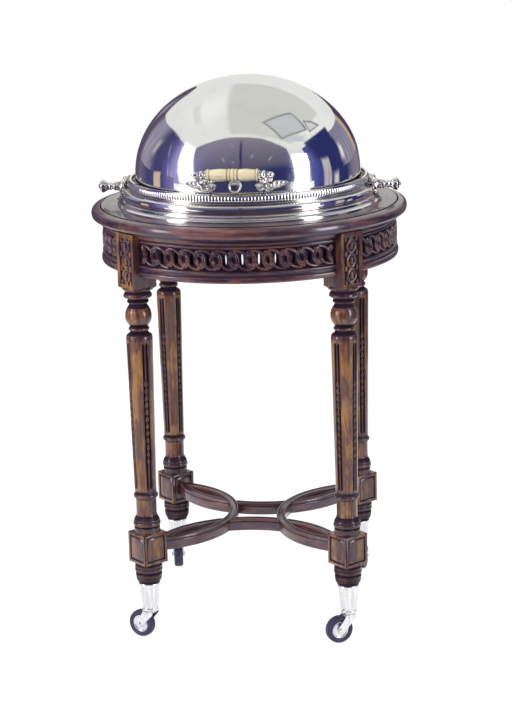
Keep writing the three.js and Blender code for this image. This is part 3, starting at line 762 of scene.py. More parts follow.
def fielded_face(half_wide, low, high, out):
    """A square face with a grooved frame and a raised field, facing -Y at a distance out."""
    centre, half_high, frame_wide = (low + high) / 2, (high - low) / 2, 6.0
    # The tones paint shade into the groove round the field; the field grows lighter towards its middle.
    steps = [(half_wide - inset, half_high - inset, depth, tone) for inset, depth, tone in (
        (0, -0.9, 0.8), (0.9, 0, 0.95), (frame_wide - 0.8, 0, 0.62), (frame_wide, -0.5, 0.35),
        (frame_wide + 0.5, -2.3, 0.10), (frame_wide + 1.8, -2.6, 0.10),
        (frame_wide + 2.6, -1.9, 0.35), (frame_wide + 4.4, -0.5, 0.62),
        (frame_wide + 5.4, -0.3, 0.70))]
    field_wide, field_high, depth, _ = steps[-1]
    steps += [(field_wide * share, field_high * share, depth, tone)
              for share, tone in ((0.6, 0.95), (0.2, 1.0))]
    rows = [[(x * w, -out - depth, centre + z * h) for x, z in SQUARE] for w, h, depth, _ in steps]
    tones = [[tone] for *_, tone in steps]
    form = Form().grid(np.array(rows), np.array(tones), wrap_columns=True)
    form.faces.append([form.count - 4 + i for i in range(4)])
    return form


def lower_cube():
    low, high = CUBE_FOOT, CUBE_TOP
    form = Form()
    for k in range(4):
        form.join(fielded_face(CUBE_HALF, low, high, CUBE_HALF), turn_z(45 + 90 * k))
    for z, out in ((low, -1), (high, 1)):
        rows = [[(sx * w, sy * w, z + rise * out) for sx, sy in SQUARE]
                for w, rise in ((CUBE_HALF - 0.9, -0.5), (CUBE_HALF - 2, 0.2), (12, 0.2))]
        # Painted shade where the turnings meet the cube.
        cap = Form().grid(np.array(rows), np.array([0.9, 0.8, 0.2])[:, None], wrap_columns=True)
        form.join(cap, turn_z(45))
    return form


def plaque_relief(x, z):
    """Carving of a block's outer face: two bands that weave round a column of oval beads."""
    half_wide, half_high, pitch = 20.0, 47.0, 29.0
    inside = np.minimum(half_wide - np.abs(x), half_high - np.abs(z))
    ground = -2.8 * np.clip(inside / 1.2, 0, 1)
    phase = math.pi * z / pitch
    height = np.zeros(x.shape)
    for sign in (-1, 1):
        centre = sign * 10.2 * np.cos(phase)
        slope = 10.2 * math.pi / pitch * np.sin(phase)
        gap = np.abs(x - centre) / np.hypot(1, slope)
        over = 0.75 + 0.25 * sign * np.sin(2 * phase)
        band = np.sqrt(np.clip(1 - (gap / 3.3) ** 2, 0, 1)) * over
        height = np.maximum(height, band * 3.4 - 0.9 * np.exp(-((gap / 0.7) ** 2)) * (band > 0))
    near = z - pitch * np.round(z / pitch)
    bead = np.sqrt(np.clip(1 - (x / 4.4) ** 2 - (near / 8.0) ** 2, 0, 1))
    height = np.maximum(height, 4.4 * bead)
    between = z - pitch * (np.floor(z / pitch) + 0.5)
    for sign in (-1, 1):
        seed = np.sqrt(np.clip(1 - ((x - sign * 13.6) / 3.2) ** 2 - (between / 6.4) ** 2, 0, 1))
        height = np.maximum(height, 3.0 * seed)
    return np.where(inside > 0, ground + height * np.clip(inside / 1.2, 0, 1), 0)


def upper_block():
    """The square block under the top, with its carved outer face turned to -Y."""
    low, high = BLOCK_FOOT, UNDER_Z - JOINT
    half, centre = BLOCK_HALF, (low + high) / 2 - 1.5
    x = np.linspace(-half, half, 68)
    z = np.unique(np.concatenate([[low, high], np.linspace(low + 2, high - 2, 132)]))
    across, up = np.meshgrid(x, z)
    relief = plaque_relief(across, up - centre)
    front = np.stack([across, -half - relief, up], -1)
    # Painted shade: the carving's ground is dark, the raised bands and beads light.
    form = Form().grid(front, 1.06 + relief * 0.38)
    corners = [(half, -half), (half, half), (-half, half), (-half, -half)]
    sides = [[(x, y, h) for x, y in corners] for h in (low, high)]
    # The sides are darker at the top, in painted shade under the table top.
    form.grid(np.array(sides), np.array([[0.7], [0.25]]))
    ogee = rounded([(half, low), (half - 0.4, low - 1.5, 0.5), (half - 4.5, low - 4, 2),
                    (half - 6.4, low - 8, 1.2), (14, low - 8)], steps=4)
    rows = [[(sx * w, sy * w, h) for sx, sy in SQUARE] for w, h in ogee]
    form.grid(np.array(rows), 0.75, wrap_columns=True)
    return form


def leg(hand):
    """A whole leg on its own axis, for the front right (hand 1) or front left (hand -1) corner.
    The turned rings are set darker, the stretch between each pair of heights stays golden."""
    form = Form()
    for profile, low, high, stain in ((LOWER_TURNING, 0, 0, 0.30), (MIDDLE_TURNING, 266, 300, 0.48),
                                      (UPPER_TURNING, 662, 692, 0.50)):
        outline = rounded(profile, steps=4)
        golden = (outline[:, 1] > low) & (outline[:, 1] < high)
        # hollow_tone paints shade into the turnings' hollows; stain scales it down further on the rings.
        tone = hollow_tone(outline)
        form.join(lathe(outline, 56, tone=np.where(golden, np.maximum(tone, 0.9), tone * stain)))
    form.join(shaft(hand))
    form.join(lower_cube())
    form.join(upper_block(), turn_z(45 * hand))
    return form


def legs():
    shapes = {hand: leg(hand) for hand in (-1, 1)}
    for name, (sx, sy) in CORNERS.items():
        hand = -sx * sy
        turned = shapes[hand].moved(turn_z(180 if sy > 0 else 0))
        placed = turned.at(sx * LEG_AT, sy * LEG_AT, 0)
        shift = {"fl": 0, "fr": 370, "bl": 810, "br": 1290}[name]
        piece(f"leg_carved_{name}", placed, WOOD, "stand", [f"leg_{name}"],
              grain=lambda p, s=shift: grain_up(p) + s, sharp=60)


# ---------- stretcher

RAIL_END, RAIL_APEX = 182, 50
RAIL_SAG = RAIL_END - RAIL_APEX
RAIL_BEND = (RAIL_END**2 + RAIL_SAG**2) / (2 * RAIL_SAG)
RAIL_CENTRE = RAIL_APEX + RAIL_BEND
RAIL_STATIONS = 72
MITRE_GAP = 0.2


def rail_limit(radius):
    """Angle at which a line of the rail meets the mitre with its neighbour or the lower block."""
    diagonal = radius * math.sqrt(2)
    mitre = math.radians(135) - np.arcsin((RAIL_CENTRE + MITRE_GAP) / diagonal)
    block = math.radians(45) + np.arcsin((2 * RAIL_END - RAIL_CENTRE - MITRE_GAP) / diagonal)
    return np.minimum(mitre, block)


def rail_bar(outline, trim=None):
    """The left rail: an outline of (offset, z) pairs swept along its arc. Its ends are mitred and
    meet the blocks, or they are cut square, trim mm short."""
    offset, z = np.array(outline).T
    radius = RAIL_BEND + offset
    limit = rail_limit(radius) if trim is None else math.asin((RAIL_END - trim) / RAIL_BEND)
    angles = np.linspace(-1, 1, RAIL_STATIONS)[:, None] * (limit + 0 * radius)
    rows = around(angles + math.radians(90), radius, z) - (RAIL_CENTRE, 0, 0)
    form = Form().grid(rows, wrap_columns=True)
    count = len(outline)
    last = (RAIL_STATIONS - 1) * count
    form.faces += [list(range(count)), list(range(last, last + count))]
    return form


def rail_outline():
    w, low, high = 9, RAIL_FOOT, RAIL_TOP
    right = [(w, low, 1.4), (w, high - 7, 0.8), (w - 1.2, high - 6, 0.5), (w, high - 4.4, 0.8),
             (w - 0.6, high - 0.8, 1.0), (w - 2.6, high, 1.2), (w - 4.4, high - 1.8, 0.8),
             (w - 6.2, high - 2.6, 1.6)]
    left = [(-x, z, own) for x, z, own in reversed(right)]
    return rounded([left[-1], *right, *left[:-1]], closed=True)


def rail_finish(made, turn):
    """Tone and grain of a rail by place: painted shade in the top groove, along the line under the
    moulding and at the foot, a painted highlight on the top lips, grain along the arc.
    """
    mesh = made.data
    p = np.empty(len(mesh.vertices) * 3)
    mesh.vertices.foreach_get("co", p)
    p = p.reshape(-1, 3) / MM
    back = math.radians(-turn)
    x = p[:, 0] * math.cos(back) - p[:, 1] * math.sin(back)
    y = p[:, 0] * math.sin(back) + p[:, 1] * math.cos(back)
    radius = np.hypot(x + RAIL_CENTRE, y)
    along = np.arctan2(y, x + RAIL_CENTRE) * RAIL_BEND
    offset = np.abs(radius - RAIL_BEND)
    groove = (p[:, 2] > RAIL_TOP - 4) & (offset < 5.2)
    line = (np.abs(p[:, 2] - RAIL_TOP + 6) < 0.7) & (offset > 7)
    lip = (p[:, 2] > RAIL_TOP - 2.2) & ~groove
    # Painted shade in the groove, the line and along the foot; a painted highlight and wear on the top
    # lips.
    tone = np.where(groove, 0.30, np.where(line, 0.1, np.where(p[:, 2] < RAIL_FOOT + 1, 0.5, 0.95)))
    tone = np.where(lip, 1.12, tone)
    mesh.attributes["tone"].data.foreach_set("value", tone)
    fibre = np.stack([along + turn * 11, radius, p[:, 2]], -1) * MM
    mesh.attributes["grain"].data.foreach_set("vector", fibre.reshape(-1))


def cut_away(target, tool):
    """Cuts a plain form out of a piece."""
    mesh = bpy.data.meshes.new("cutter")
    mesh.from_pydata((np.vstack(tool.points) * MM).tolist(), [], tool.faces)
    mend(mesh)
    cutter = into_scene("cutter", mesh)
    modifier = target.modifiers.new("lap", "BOOLEAN")
    modifier.object = cutter
    modifier.solver = "EXACT"
    graph = bpy.context.evaluated_depsgraph_get()
    result = bpy.data.meshes.new_from_object(target.evaluated_get(graph))
    target.modifiers.clear()
    old = target.data
    target.data = result
    result.name = old.name
    bpy.data.meshes.remove(old)
    bpy.data.objects.remove(cutter)
    bpy.data.meshes.remove(mesh)


def rails():
    lap = [(sx * 9.5, RAIL_TOP + (5 if sz > 0 else -13)) for sx, sz in SQUARE]
    for name, turn in (("left", 0), ("right", 180), ("front", 90), ("back", 270)):
        form = rail_bar(rail_outline()).moved(turn_z(turn))
        made = piece(f"rail_moulded_{name}", form, DARK_WOOD, "stand", [f"rail_{name}"], sharp=40)
        if name in ("front", "back"):
            for side in (0, 180):
                cut_away(made, rail_bar(lap, 60).moved(turn_z(side)))
        rail_finish(made, turn)
        made.data.shade_smooth()
        made.data.set_sharp_from_angle(angle=math.radians(40))


# ---------- castors

TRAIL = 22
CASTOR_TURN = {"fl": -27, "fr": 29, "bl": -81, "br": -98}


def castor_cup():
    return lathe(rounded(shifted([
        (0, 0), (15.6, 0), (16.6, 1.4, 0.8), (16.6, 4, 1), (15.8, 5.2), (17.4, 12, 4)], CUP_FOOT)
        + shifted([(20.6, -7.4, 0.8), (21.8, -6, 1), (21.8, -1.2, 1), (20.4, 0), (0, 0)],
                  LEG_FOOT - JOINT), steps=4), 64)


def castor_fork():
    """Two cheeks under a round plate, with the axle, its bolts and a rivet on each cheek."""
    low, high = CUP_FOOT - 5, CUP_FOOT - 0.5
    fork = lathe(rounded([(0, low), (12.6, low, 0.8), (13.2, high - 1, 1), (12, high, 0.8),
                          (0, high)]), 40)
    inner, outer = 10.8, 13.0
    cheek = rounded([
        (12, high - 1, 2), (12.4, high - 8, 4), (-4, WHEEL_RADIUS + 8, 10),
        (-TRAIL + 7, WHEEL_RADIUS - 4, 6), (-TRAIL, WHEEL_RADIUS - 8, 6),
        (-TRAIL - 6.4, WHEEL_RADIUS - 4, 5), (-TRAIL - 7, WHEEL_RADIUS + 5, 6),
        (-12.4, high - 8, 8), (-12, high - 1, 2),
    ], closed=True, steps=5)
    bolt = lathe(rounded([(0, 0), (5.2, 0, 0.4), (5.2, 1.4, 0.8), (3.4, 2.2, 0.8), (0, 2.2)]),
                 24, tone=0.6)
    rivet = ball((0, 0, 0), 1.9, (1, 0.5, 1), 7, 12, tone=0.4)
    for side in (-1, 1):
        fork.join(slab(cheek, *sorted((side * inner, side * outer))))
        outward = bolt.moved(Matrix.Rotation(math.radians(-90 * side), 4, "X"))
        fork.join(outward.at(-TRAIL, side * outer, WHEEL_RADIUS))
        fork.join(rivet.at(-5, side * outer, high - 9))
    bridge = rounded([(-12, high - 4, 0.5), (12, high - 4, 0.5), (12, high, 1.5), (-12, high, 1.5)],
                     closed=True)
    fork.join(slab(bridge, -outer, outer))
    axle = onto_y(lathe([(0, -inner), (3.2, -inner), (3.2, inner), (0, inner)], 24))
    return fork.join(axle.at(-TRAIL, 0, WHEEL_RADIUS))


def castor_wheel():
    """The dished disc and the tyre round it."""
    r, half = WHEEL_RADIUS, 10
    disc = mirrored([(3.8, -9.6, 0.3), (7.4, -9.6, 0.8), (8.2, -6.8, 1), (14.2, -5.6, 1),
                     (15.4, -7.4, 0.8), (17.6, -7.4)])
    tyre = mirrored([(18, 1.4 - half), (r - 4.4, -half, 1.5), (r - 1.8, 1 - half, 2), (r, 5 - half, 3)])
    return [onto_y(lathe(rounded(outline, closed=True, steps=steps), sides, True, tone))
            .at(-TRAIL, 0, r)
            for outline, steps, sides, tone in ((disc, 3, 56, 0.85), (tyre, 4, 72, 0.9))]


def castors():
    """Made with the swivel axis at the origin, trailing towards -X, then turned and set down."""
    cup, fork = castor_cup(), castor_fork()
    disc, tyre = castor_wheel()
    for name, (sx, sy) in CORNERS.items():
        at = (sx * LEG_AT, sy * LEG_AT, 0)
        turned = Matrix.Translation(at) @ turn_z(CASTOR_TURN[name])
        piece(f"castor_cup_{name}", cup.at(*at), CASTOR, "stand", [f"socket_{name}"])
        made = piece(f"castor_fork_{name}", fork.moved(turned), CASTOR, f"swivel_{name}",
                     [f"fork_{name}"], sharp=35)
        bevel = made.modifiers.new("edges", "BEVEL")
        bevel.width = 0.4 * MM
        bevel.segments = 2
        bevel.limit_method = "ANGLE"
        bevel.angle_limit = math.radians(50)
        piece(f"castor_disc_{name}", disc.moved(turned), CASTOR, f"wheel_{name}",
              [f"disc_{name}"])
        piece(f"castor_tyre_{name}", tyre.moved(turned), RUBBER, f"wheel_{name}",
              [f"tyre_{name}"])


# ---------- collar

COLLAR_OUTLINE = shifted([
    (-22, 0, 0.5), (0, 0, 0.4), (0, 3, 1.2), (-2, 4, 0.8), (-6, 6.4, 3), (-8, 12, 2),
    (-10.4, 13.4), (-9.6, 17, 0.8), (-7.4, 19.6, 3), (-7.4, 26, 4), (-10, 30.6, 2.4),
    (-17, 32, 1.6), (-22.6, 33.4, 1), (-22.4, 35.8, 0.8), (-21.2, 38, 2), (-20.6, 43, 3),
    (-22.4, 48.6, 2), (-23.4, 50, 0.5),
], COLLAR_FOOT, COLLAR_RADIUS)
COLLAR_OUTLINE += shifted([(-24.4, 0), (-29.4, -0.4, 1.4), (-29.4, -5, 2)], COLLAR_TOP, COLLAR_RADIUS)
GADROONS, GADROON_DEPTH = 232, 0.75
GADROON_FOOT, GADROON_TOP = COLLAR_FOOT + 36.4, COLLAR_FOOT + 49.4


def gadroon(angle, z):
    """Depth of the grooves between the tongues of the collar's border."""
    within = np.clip(np.minimum(z - GADROON_FOOT, GADROON_TOP - z) / 2.5, 0, 1)
    wave = np.abs(np.sin(angle * GADROONS / 2))
    return -GADROON_DEPTH * within * (1 - np.sqrt(wave))


def collar():
    profile = rounded(COLLAR_OUTLINE, closed=True, steps=5)
    tone = np.where(profile[:, 0] < COLLAR_RADIUS - 24, 1, hollow_tone(profile, 5, 3.5) * 0.45 + 0.55)
    plain = lathe(profile, GADROONS * 8, closed=True, tone=tone, ripple=gadroon)
    piece("collar_gadrooned", plain, SILVER, "stand", ["collar"])


# ---------- pivots


def leaf(place, length, half_wide, rise, lobes, rows=44, columns=25):
    """A lobed leaf laid on a surface: place(s, t) gives a point and its outward normal."""
    u = np.linspace(0, 1, rows)
    v = np.linspace(-1, 1, columns)
    outline = np.sin(math.pi * np.clip(u, 0.001, 1) ** 0.62) ** 0.7
    scallop = 1 - 0.16 * np.abs(np.sin(math.pi * lobes * u)) ** 0.7 * (u < 0.96)
    points, tones = [], []
    for i, ui in enumerate(u):
        half = half_wide * (0.12 + outline[i]) * scallop[i]
        row, row_tone = [], []
        for vj in v:
            point, normal = place(ui * length, vj * half)
            vein = math.exp(-((vj / 0.10) ** 2))
            rib = abs(math.sin(math.pi * lobes * (ui - 0.09 * abs(vj) * lobes / 5)))
            bulge = (1 - vj**4) * (0.55 + 0.45 * rib**0.6) * min(1, 8 * (1 - ui) + 0.15)
            height = rise * (bulge + 0.22 * vein) - 0.8
            row.append(np.array(point) + np.array(normal) * height)
            row_tone.append(np.clip(0.4 + bulge * 0.6, 0, 1) * (0.9 - 0.3 * ui))
        points.append(row)
        tones.append(row_tone)
    return Form().grid(np.array(points), np.array(tones))


COLLAR_STEPS = np.array(shifted([
    (-22, 51), (-18.5, 44), (-18, 36), (-9, 32), (-5.4, 26), (-5.4, 18), (-6, 11), (-1, 6), (3, 2.4),
], COLLAR_FOOT, COLLAR_RADIUS))


def on_collar(s, t):
    """A point on the collar's steps on the +X side: s runs down and outward, t round the ring."""
    runs = np.linalg.norm(np.diff(COLLAR_STEPS, axis=0), axis=1)
    stations = np.concatenate([[0], np.cumsum(runs)])
    s = min(max(s, 0), stations[-1])
    r = np.interp(s, stations, COLLAR_STEPS[:, 0])
    z = np.interp(s, stations, COLLAR_STEPS[:, 1])
    lean = np.array([0.8, 0.6])
    angle = t / r
    point = (r * math.cos(angle), r * math.sin(angle), z)
    return point, (lean[0] * math.cos(angle), lean[0] * math.sin(angle), lean[1])


def curl(centre, radius, turns, thick, side, lift=(0, 0, 1)):
    """A small scroll: a bar that winds inward and thins. Turns below 0 wind away from lift."""
    t = np.linspace(0, 1, 34)
    angle = turns * 2 * math.pi * t[:, None]
    r = radius * (1 - 0.82 * t[:, None])
    path = np.array(centre) + r * (np.cos(angle) * side + np.sin(angle) * lift)
    return tube(path, thick * (1 - 0.45 * t), 10, tone=0.9)


def pivot_bracket():
    """The leaf lug on the +X side that carries a pivot pin."""
    form = leaf(on_collar, 66, 21, 3.4, lobes=5)
    neck = onto_x(lathe(rounded([
        (0, 240), (12.6, 240, 1), (12.6, 246, 1.5), (10.2, 249, 1), (9.6, 253, 1),
        (11.4, 256, 1.6), (11.4, 260, 1.6), (8.6, 263, 1), (8.2, 265, 1), (9.6, 267, 0.8),
        (9.6, 267.8, 0.4), (5.4, 268), (5.4, 240)], steps=4), 40))
    form.join(neck.at(0, 0, PIVOT_Z))
    for side in (-1, 1):
        out = (0, side, 0)
        form.join(curl((254, side * 14.5, PIVOT_Z + 2), 7.4, side * 1.35, 2.7, out))
        form.join(curl((258, side * 12.5, PIVOT_Z - 13), 6.2, side * 1.3, 2.3, out, (0, 0, -1)))
        form.join(ball((252, side * 10, PIVOT_Z + 13), 4.6, tone=0.85))
        petal = bezier((246, side * 6, PIVOT_Z + 15), (252, side * 20, PIVOT_Z + 16),
                       (258, side * 25, PIVOT_Z + 2), (262, side * 19, PIVOT_Z - 10))
        thick = np.interp(np.linspace(0, 1, 13), (0, 0.4, 1), (2.2, 3.4, 1.4))
        form.join(tube(petal, thick, 12, 0.7))
    return form.join(ball((251, 0, PIVOT_Z + 15), 5.6, (1, 1.3, 1), tone=0.95))


FINIAL = [
    (5, 250), (5, 268.4, 0.2), (8.4, 268.6, 0.6), (9.2, 270.4, 0.8), (9, 273.4, 0.8),
    (6.4, 275.6, 1), (5.8, 278.6, 1), (7.6, 280.6, 0.8), (8.2, 283, 1), (6.8, 285, 0.6),
    (8.6, 289, 2), (12.4, 294.6, 3), (13.4, 299, 1.6), (12, 301.6, 1), (8, 303.6, 1.4),
    (4.4, 304.6, 0.8), (4, 306.4, 1.2), (2.2, 307.6, 0.8), (0, 308),
]


def finial():
    """A pivot pin with its fluted tulip end, on the +X side."""
    shift = PIN_TIP - FINIAL[-1][1]
    profile = rounded(shifted(FINIAL, shift), steps=4)

    def flutes(angle, z):
        z = z - shift
        bulb = np.clip(np.minimum(z - 286, 302 - z) / 3, 0, 1)
        ring = np.clip(np.minimum(z - 268.8, 274 - z), 0, 1)
        return (-1.3 * bulb * (1 - np.abs(np.sin(5 * angle))) - 0.5 * ring
                * (1 - np.abs(np.sin(9 * angle))))

    pin = lathe(profile, 120, ripple=flutes, tone=0.4 + 0.6 * hollow_tone(profile, 4, 5))
    return onto_x(pin).at(0, 0, PIVOT_Z)


def pivots():
    bracket, pin = pivot_bracket(), finial()
    for name, turn in (("right", 0), ("left", 180)):
        piece(f"pivot_leaf_{name}", bracket.moved(turn_z(turn)), SILVER, "stand",
              [f"pivot_bracket_{name}"], sharp=70)
        piece(f"pivot_finial_{name}", pin.moved(turn_z(turn)), SILVER, "stand",
              [f"pivot_pin_{name}"], sharp=60)


# ---------- cover


def cover_radius(z):
    """Outer radius of the cover at a height."""
    up = np.clip((z - COVER_SHOULDER) / COVER_RISE, 0, 1)
    return COVER_RADIUS * np.sqrt(1 - up**2)


def cover():
    wall = 2.0
    inside_radius = COVER_RADIUS - wall
    a = np.linspace(0, math.pi / 2, 60)
    outer, inner = (np.stack([radius * np.cos(a), COVER_SHOULDER + rise * np.sin(a)], -1)
                    for radius, rise in ((COVER_RADIUS, COVER_RISE), (inside_radius, COVER_RISE - wall)))
    outer[-1, 0] = inner[-1, 0] = 0
    bead = inside_radius - 0.8
    foot = rounded(shifted([(inside_radius, 6), (bead, 3, 1), (bead, 0, 1), (COVER_RADIUS, 0, 1),
                            (COVER_RADIUS, 4)], COVER_FOOT), steps=4)
    form = lathe(np.vstack([inner[::-1], foot, outer]), 256, tone=0.95)
    piece("cover_mirror", form, MIRROR, "cover", ["dome_cover"], sharp=60)


def on_cover(x, z):
    """A point on the cover's front and its outward normal."""
    r = float(cover_radius(z))
    y = -math.sqrt(max(r * r - x * x, 1))
    up = max(z - COVER_SHOULDER, 0) / COVER_RISE**2
    normal = Vector((x / COVER_RADIUS**2, y / COVER_RADIUS**2, up)).normalized()
    return (x, y, z), tuple(normal)


GRIP_OUTLINE = mirrored([
    (0, -49), (10.6, -49), (11.8, -48, 0.8), (11.8, -45.6, 0.8), (10.6, -44.8, 0.4),
    (10.9, -43.6, 0.4), (10.3, -41.4, 0.8), (11.4, -34, 5), (12.2, -26, 6), (11.6, -16, 5),
    (10.8, -10.4, 0.8), (10.5, -9, 0.3), (12.0, -8.2), (12.2, -6, 0.8), (10.9, -4.4, 0.5),
    (10.9, -3.4, 0.5), (12.2, -1.8, 0.8),
])


def handle():
    outline = rounded(GRIP_OUTLINE, steps=4)
    grip = onto_x(lathe(outline, 64, tone=hollow_tone(outline, 3, 1.6))).at(0, GRIP_Y, GRIP_Z)
    piece("grip_turned", grip, BONE, "cover", ["handle_grip"], grain=grain_along_x)
    post = handle_post()
    for name, flip in (("right", 1), ("left", -1)):
        placed = post.moved(Matrix.Diagonal((flip, 1, 1, 1)))
        piece(f"handle_bracket_{name}", placed, SILVER, "cover", [f"handle_post_{name}"],
              sharp=70)


POST_X = 58


def handle_post():
    """Ferrule, ball end, scrolled arm and leaf foot on the +X side."""
    form = onto_x(lathe(rounded(shifted([
        (0, JOINT), (9.6, JOINT, 0.5), (9.6, 2.4, 0.8), (7.4, 3.6), (6.4, 6, 1.5), (8.6, 9.4, 1.6),
        (8.6, 12.6, 1.6), (5.6, 14.6, 0.8), (5.2, 16), (6.8, 17.6, 1), (6.8, 18.8, 1), (4.6, 20),
        (0, 20)], GRIP_HALF), steps=4), 40)).at(0, GRIP_Y, GRIP_Z)
    form.join(ball((GRIP_HALF + 23.4, GRIP_Y, GRIP_Z), 6.4, tone=0.95))
    form.join(ball((GRIP_HALF + 29.2, GRIP_Y, GRIP_Z), 1.7, rings=8, sides=14, tone=0.9))
    foot_y = on_cover(POST_X, BOSS_Z + 2)[0][1]
    arm = bezier((POST_X + 2, GRIP_Y + 3, GRIP_Z - 5), (POST_X + 4, GRIP_Y - 2, GRIP_Z - 20),
                 (POST_X, GRIP_Y + 18, BOSS_Z - 2), (POST_X, foot_y + 4, BOSS_Z), steps=16)
    form.join(tube(arm, np.interp(np.linspace(0, 1, 17), (0, 0.3, 0.6, 1), (4.2, 3.4, 4.6, 7.5)), 16))
    for side, rise, radius in ((-1, -2, 7.0), (1, -1, 6.4)):
        form.join(curl((POST_X + side * 8.5, foot_y - 9, BOSS_Z + rise), radius, -1.3, 2.7,
                       (side, 0.25, 0)))
    for dx, dz, radius in ((0, -6, 6.0), (-9, 6, 3.8), (8, 8, 4.2), (-3, 10, 4.0), (3, -10, 4.4)):
        at, out = on_cover(POST_X + dx, BOSS_Z + 2 + dz)
        centre = tuple(a + 3.0 * n for a, n in zip(at, out))
        form.join(ball(centre, radius, rings=10, sides=16, tone=0.85))
    return form.join(post_leaves())


def post_leaves():
    def outward(s, t):
        return on_cover(POST_X + 8 + s, BOSS_Z - 1 + 0.12 * s + t)

    def inward(s, t):
        return on_cover(POST_X - 6 - s, BOSS_Z - 2 + 0.2 * s + t)

    def upward(s, t):
        return on_cover(POST_X + t, BOSS_Z + 6 + s)

    leaves = leaf(outward, 34, 8.2, 4.6, 4, 36, 17)
    leaves.join(leaf(inward, 15, 6.2, 4.0, 3, 24, 15))
    return leaves.join(leaf(upward, 17, 6.6, 3.4, 3, 24, 15))


def boss():
    """The dished round boss under the grip."""
    profile = rounded([
        (0, -10), (6.6, -10, 0.5), (6.6, -4.6, 1), (10.6, -1.6, 1.2), (12.4, 0.4, 1),
        (12.2, 2.0, 0.8), (10.8, 2.6, 0.8), (9.6, 1.6, 0.5), (8.6, 0.8, 1), (4, -0.3, 2), (0, -0.5),
    ], steps=4)
    tone = np.where((profile[:, 0] < 9.4) & (profile[:, 1] > -1), 0.45, 0.95)
    form = onto_y(lathe(profile, 56, tone=tone)).at(0, edge("cover_boss", LOW, Y) + 2.6, BOSS_Z)
    piece("boss_dished", form, SILVER, "cover", ["cover_boss"])


# ---------- inside

HOOP_HIGH = 5


def turned_piece(name, node, parts, material, body, segments=128, grain=grain_round):
    """A turned piece. Each part of its outline is measured up from the node's foot or its top."""
    outline = []
    for end, corners in parts:
        outline += shifted(corners, edge(node, end, Z))
    form = lathe(rounded(outline, steps=4), segments, tone=0.92)
    piece(name, form, material, body, [node], grain=grain)


def hoop(inner, outer, foot, foot_round, segments):
    """A flat ring of rectangular section."""
    outline = rounded(shifted([(inner, 0, foot_round), (outer, 0, foot_round),
                               (outer, HOOP_HIGH, 0.8), (inner, HOOP_HIGH, 0.8)], foot), closed=True)
    return lathe(outline, segments, closed=True)


def cradle():
    foot = edge("cradle", LOW, Z)
    ring = hoop(190, 210, foot, 0.8, 160)
    lug = rounded([(-9, foot, 1), (9, foot, 1), (9, PIVOT_Z + 2, 3), (6, PIVOT_Z + 9, 4),
                   (-6, PIVOT_Z + 9, 4), (-9, PIVOT_Z + 2, 3)], closed=True, steps=5)
    pin = onto_x(lathe(rounded([(0, 204), (6.6, 204, 1), (6.6, 207), (5, 207.5, 0.4),
                                (5, 250)]), 32)).at(0, 0, PIVOT_Z)
    for side in (-1, 1):
        ring.join(slab(lug, 206, 220.5).moved(turn_z(-90 * side)))
        ring.join(pin.moved(turn_z(90 - 90 * side)))
    piece("cradle_ring", ring, STEEL, "stand", ["cradle"], grain=grain_round)


def burner_cradle():
    """The burner's holder and the two straps that hang it under the cradle."""
    foot, under = edge("burner_holder", LOW, Z), edge("cradle", LOW, Z) - JOINT
    holder = hoop(40.5, 53, foot, 0.6, 80)
    strap = rounded([
        (47, foot + 1, 0.3), (90, foot + 8, 30), (204, 828, 14), (204, under, 1), (194, under, 1),
        (194, under - 3, 1), (201, under - 3, 2), (201, 830.4, 12), (90, foot + 11.2, 30),
        (47, foot + 4.2, 0.3)], closed=True, steps=8)
    for side in (0, 180):
        holder.join(slab(strap, -6, 6).moved(turn_z(side)))
    piece("burner_cradle", holder, STEEL, "stand", ["burner_holder"], sharp=40)


def inside():
    """What the closed cover hides."""
    cradle()
    turned_piece("pan_spun", "hot_water_pan", [
        (LOW, [(0, 0), (175.4, 0, 8)]),
        (HIGH, [(187, -2.5, 0.8), (201.5, -2.5, 0.8), (203, -1.6), (203, -0.4), (200, 0, 1),
                (187, 0, 1.5), (184.4, -2.5, 2)]),
        (LOW, [(173.4, 3, 6), (0, 3)]),
    ], STEEL, "pan")
    turned_piece("board_oiled", "carving_board", [
        (LOW, [(0, 0), (193.5, 0, 1.5), (195, 2, 1.5)]),
        (HIGH, [(195, -3, 2.5), (191.5, 0, 2.5), (177.5, 0, 1.2), (171, -5, 3), (165, 0, 1.2), (0, 0)]),
    ], BOARD_WOOD, "board", 160, grain_along_x)
    burner_cradle()
    turned_piece("burner_spun", "spirit_burner", [
        (LOW, [(0, 0), (34, 0, 2), (39, 5, 3), (39, 24.3), (45.6, 24.3, 0.5), (46, 26.4, 0.8),
               (36, 30, 4), (20, 34, 3), (15, 36, 1.5)]),
        (HIGH, [(15, -2, 1), (13.6, 0, 0.8), (9, 0), (8.4, -2, 0.5), (0, -2)]),
    ], BRASS, "burner", 72)


# ---------- studio


CENTRE_Z = 0.95                  # metres, where the cards' directions start
WALL_FOOT, WALL_REACH = -6.5, 8.9           # degrees, metres
LOW_FOOT, LOW_REACH = -26, 2.0
NAVY = (0.024, 0.030, 0.125)
SOFTBOX = (9.0, 9.0, 9.1)


def aim(az, el, reach):
    """A point in a direction from the cover, in degrees from -Y towards +X and up."""
    az, el = np.radians(az), np.radians(el)
    return around(az, reach * np.cos(el), CENTRE_Z + reach * np.sin(el))


def card_material():
    """Light from a card's own colour, let through where its cover fades out."""
    n = Nodes("studio_card")
    light = n.make("Emission", {"Color": n.attribute("glow", "Color")})
    blend = n.make("MixShader", {0: n.attribute("cover"), 1: n.make("BsdfTransparent").outputs[0],
                                 2: light.outputs[0]})
    n.feed(n.tree.nodes["Material Output"].inputs["Surface"], blend.outputs[0])
    n.tree.nodes.remove(n.shader)
    return n.owner


CARD = card_material()


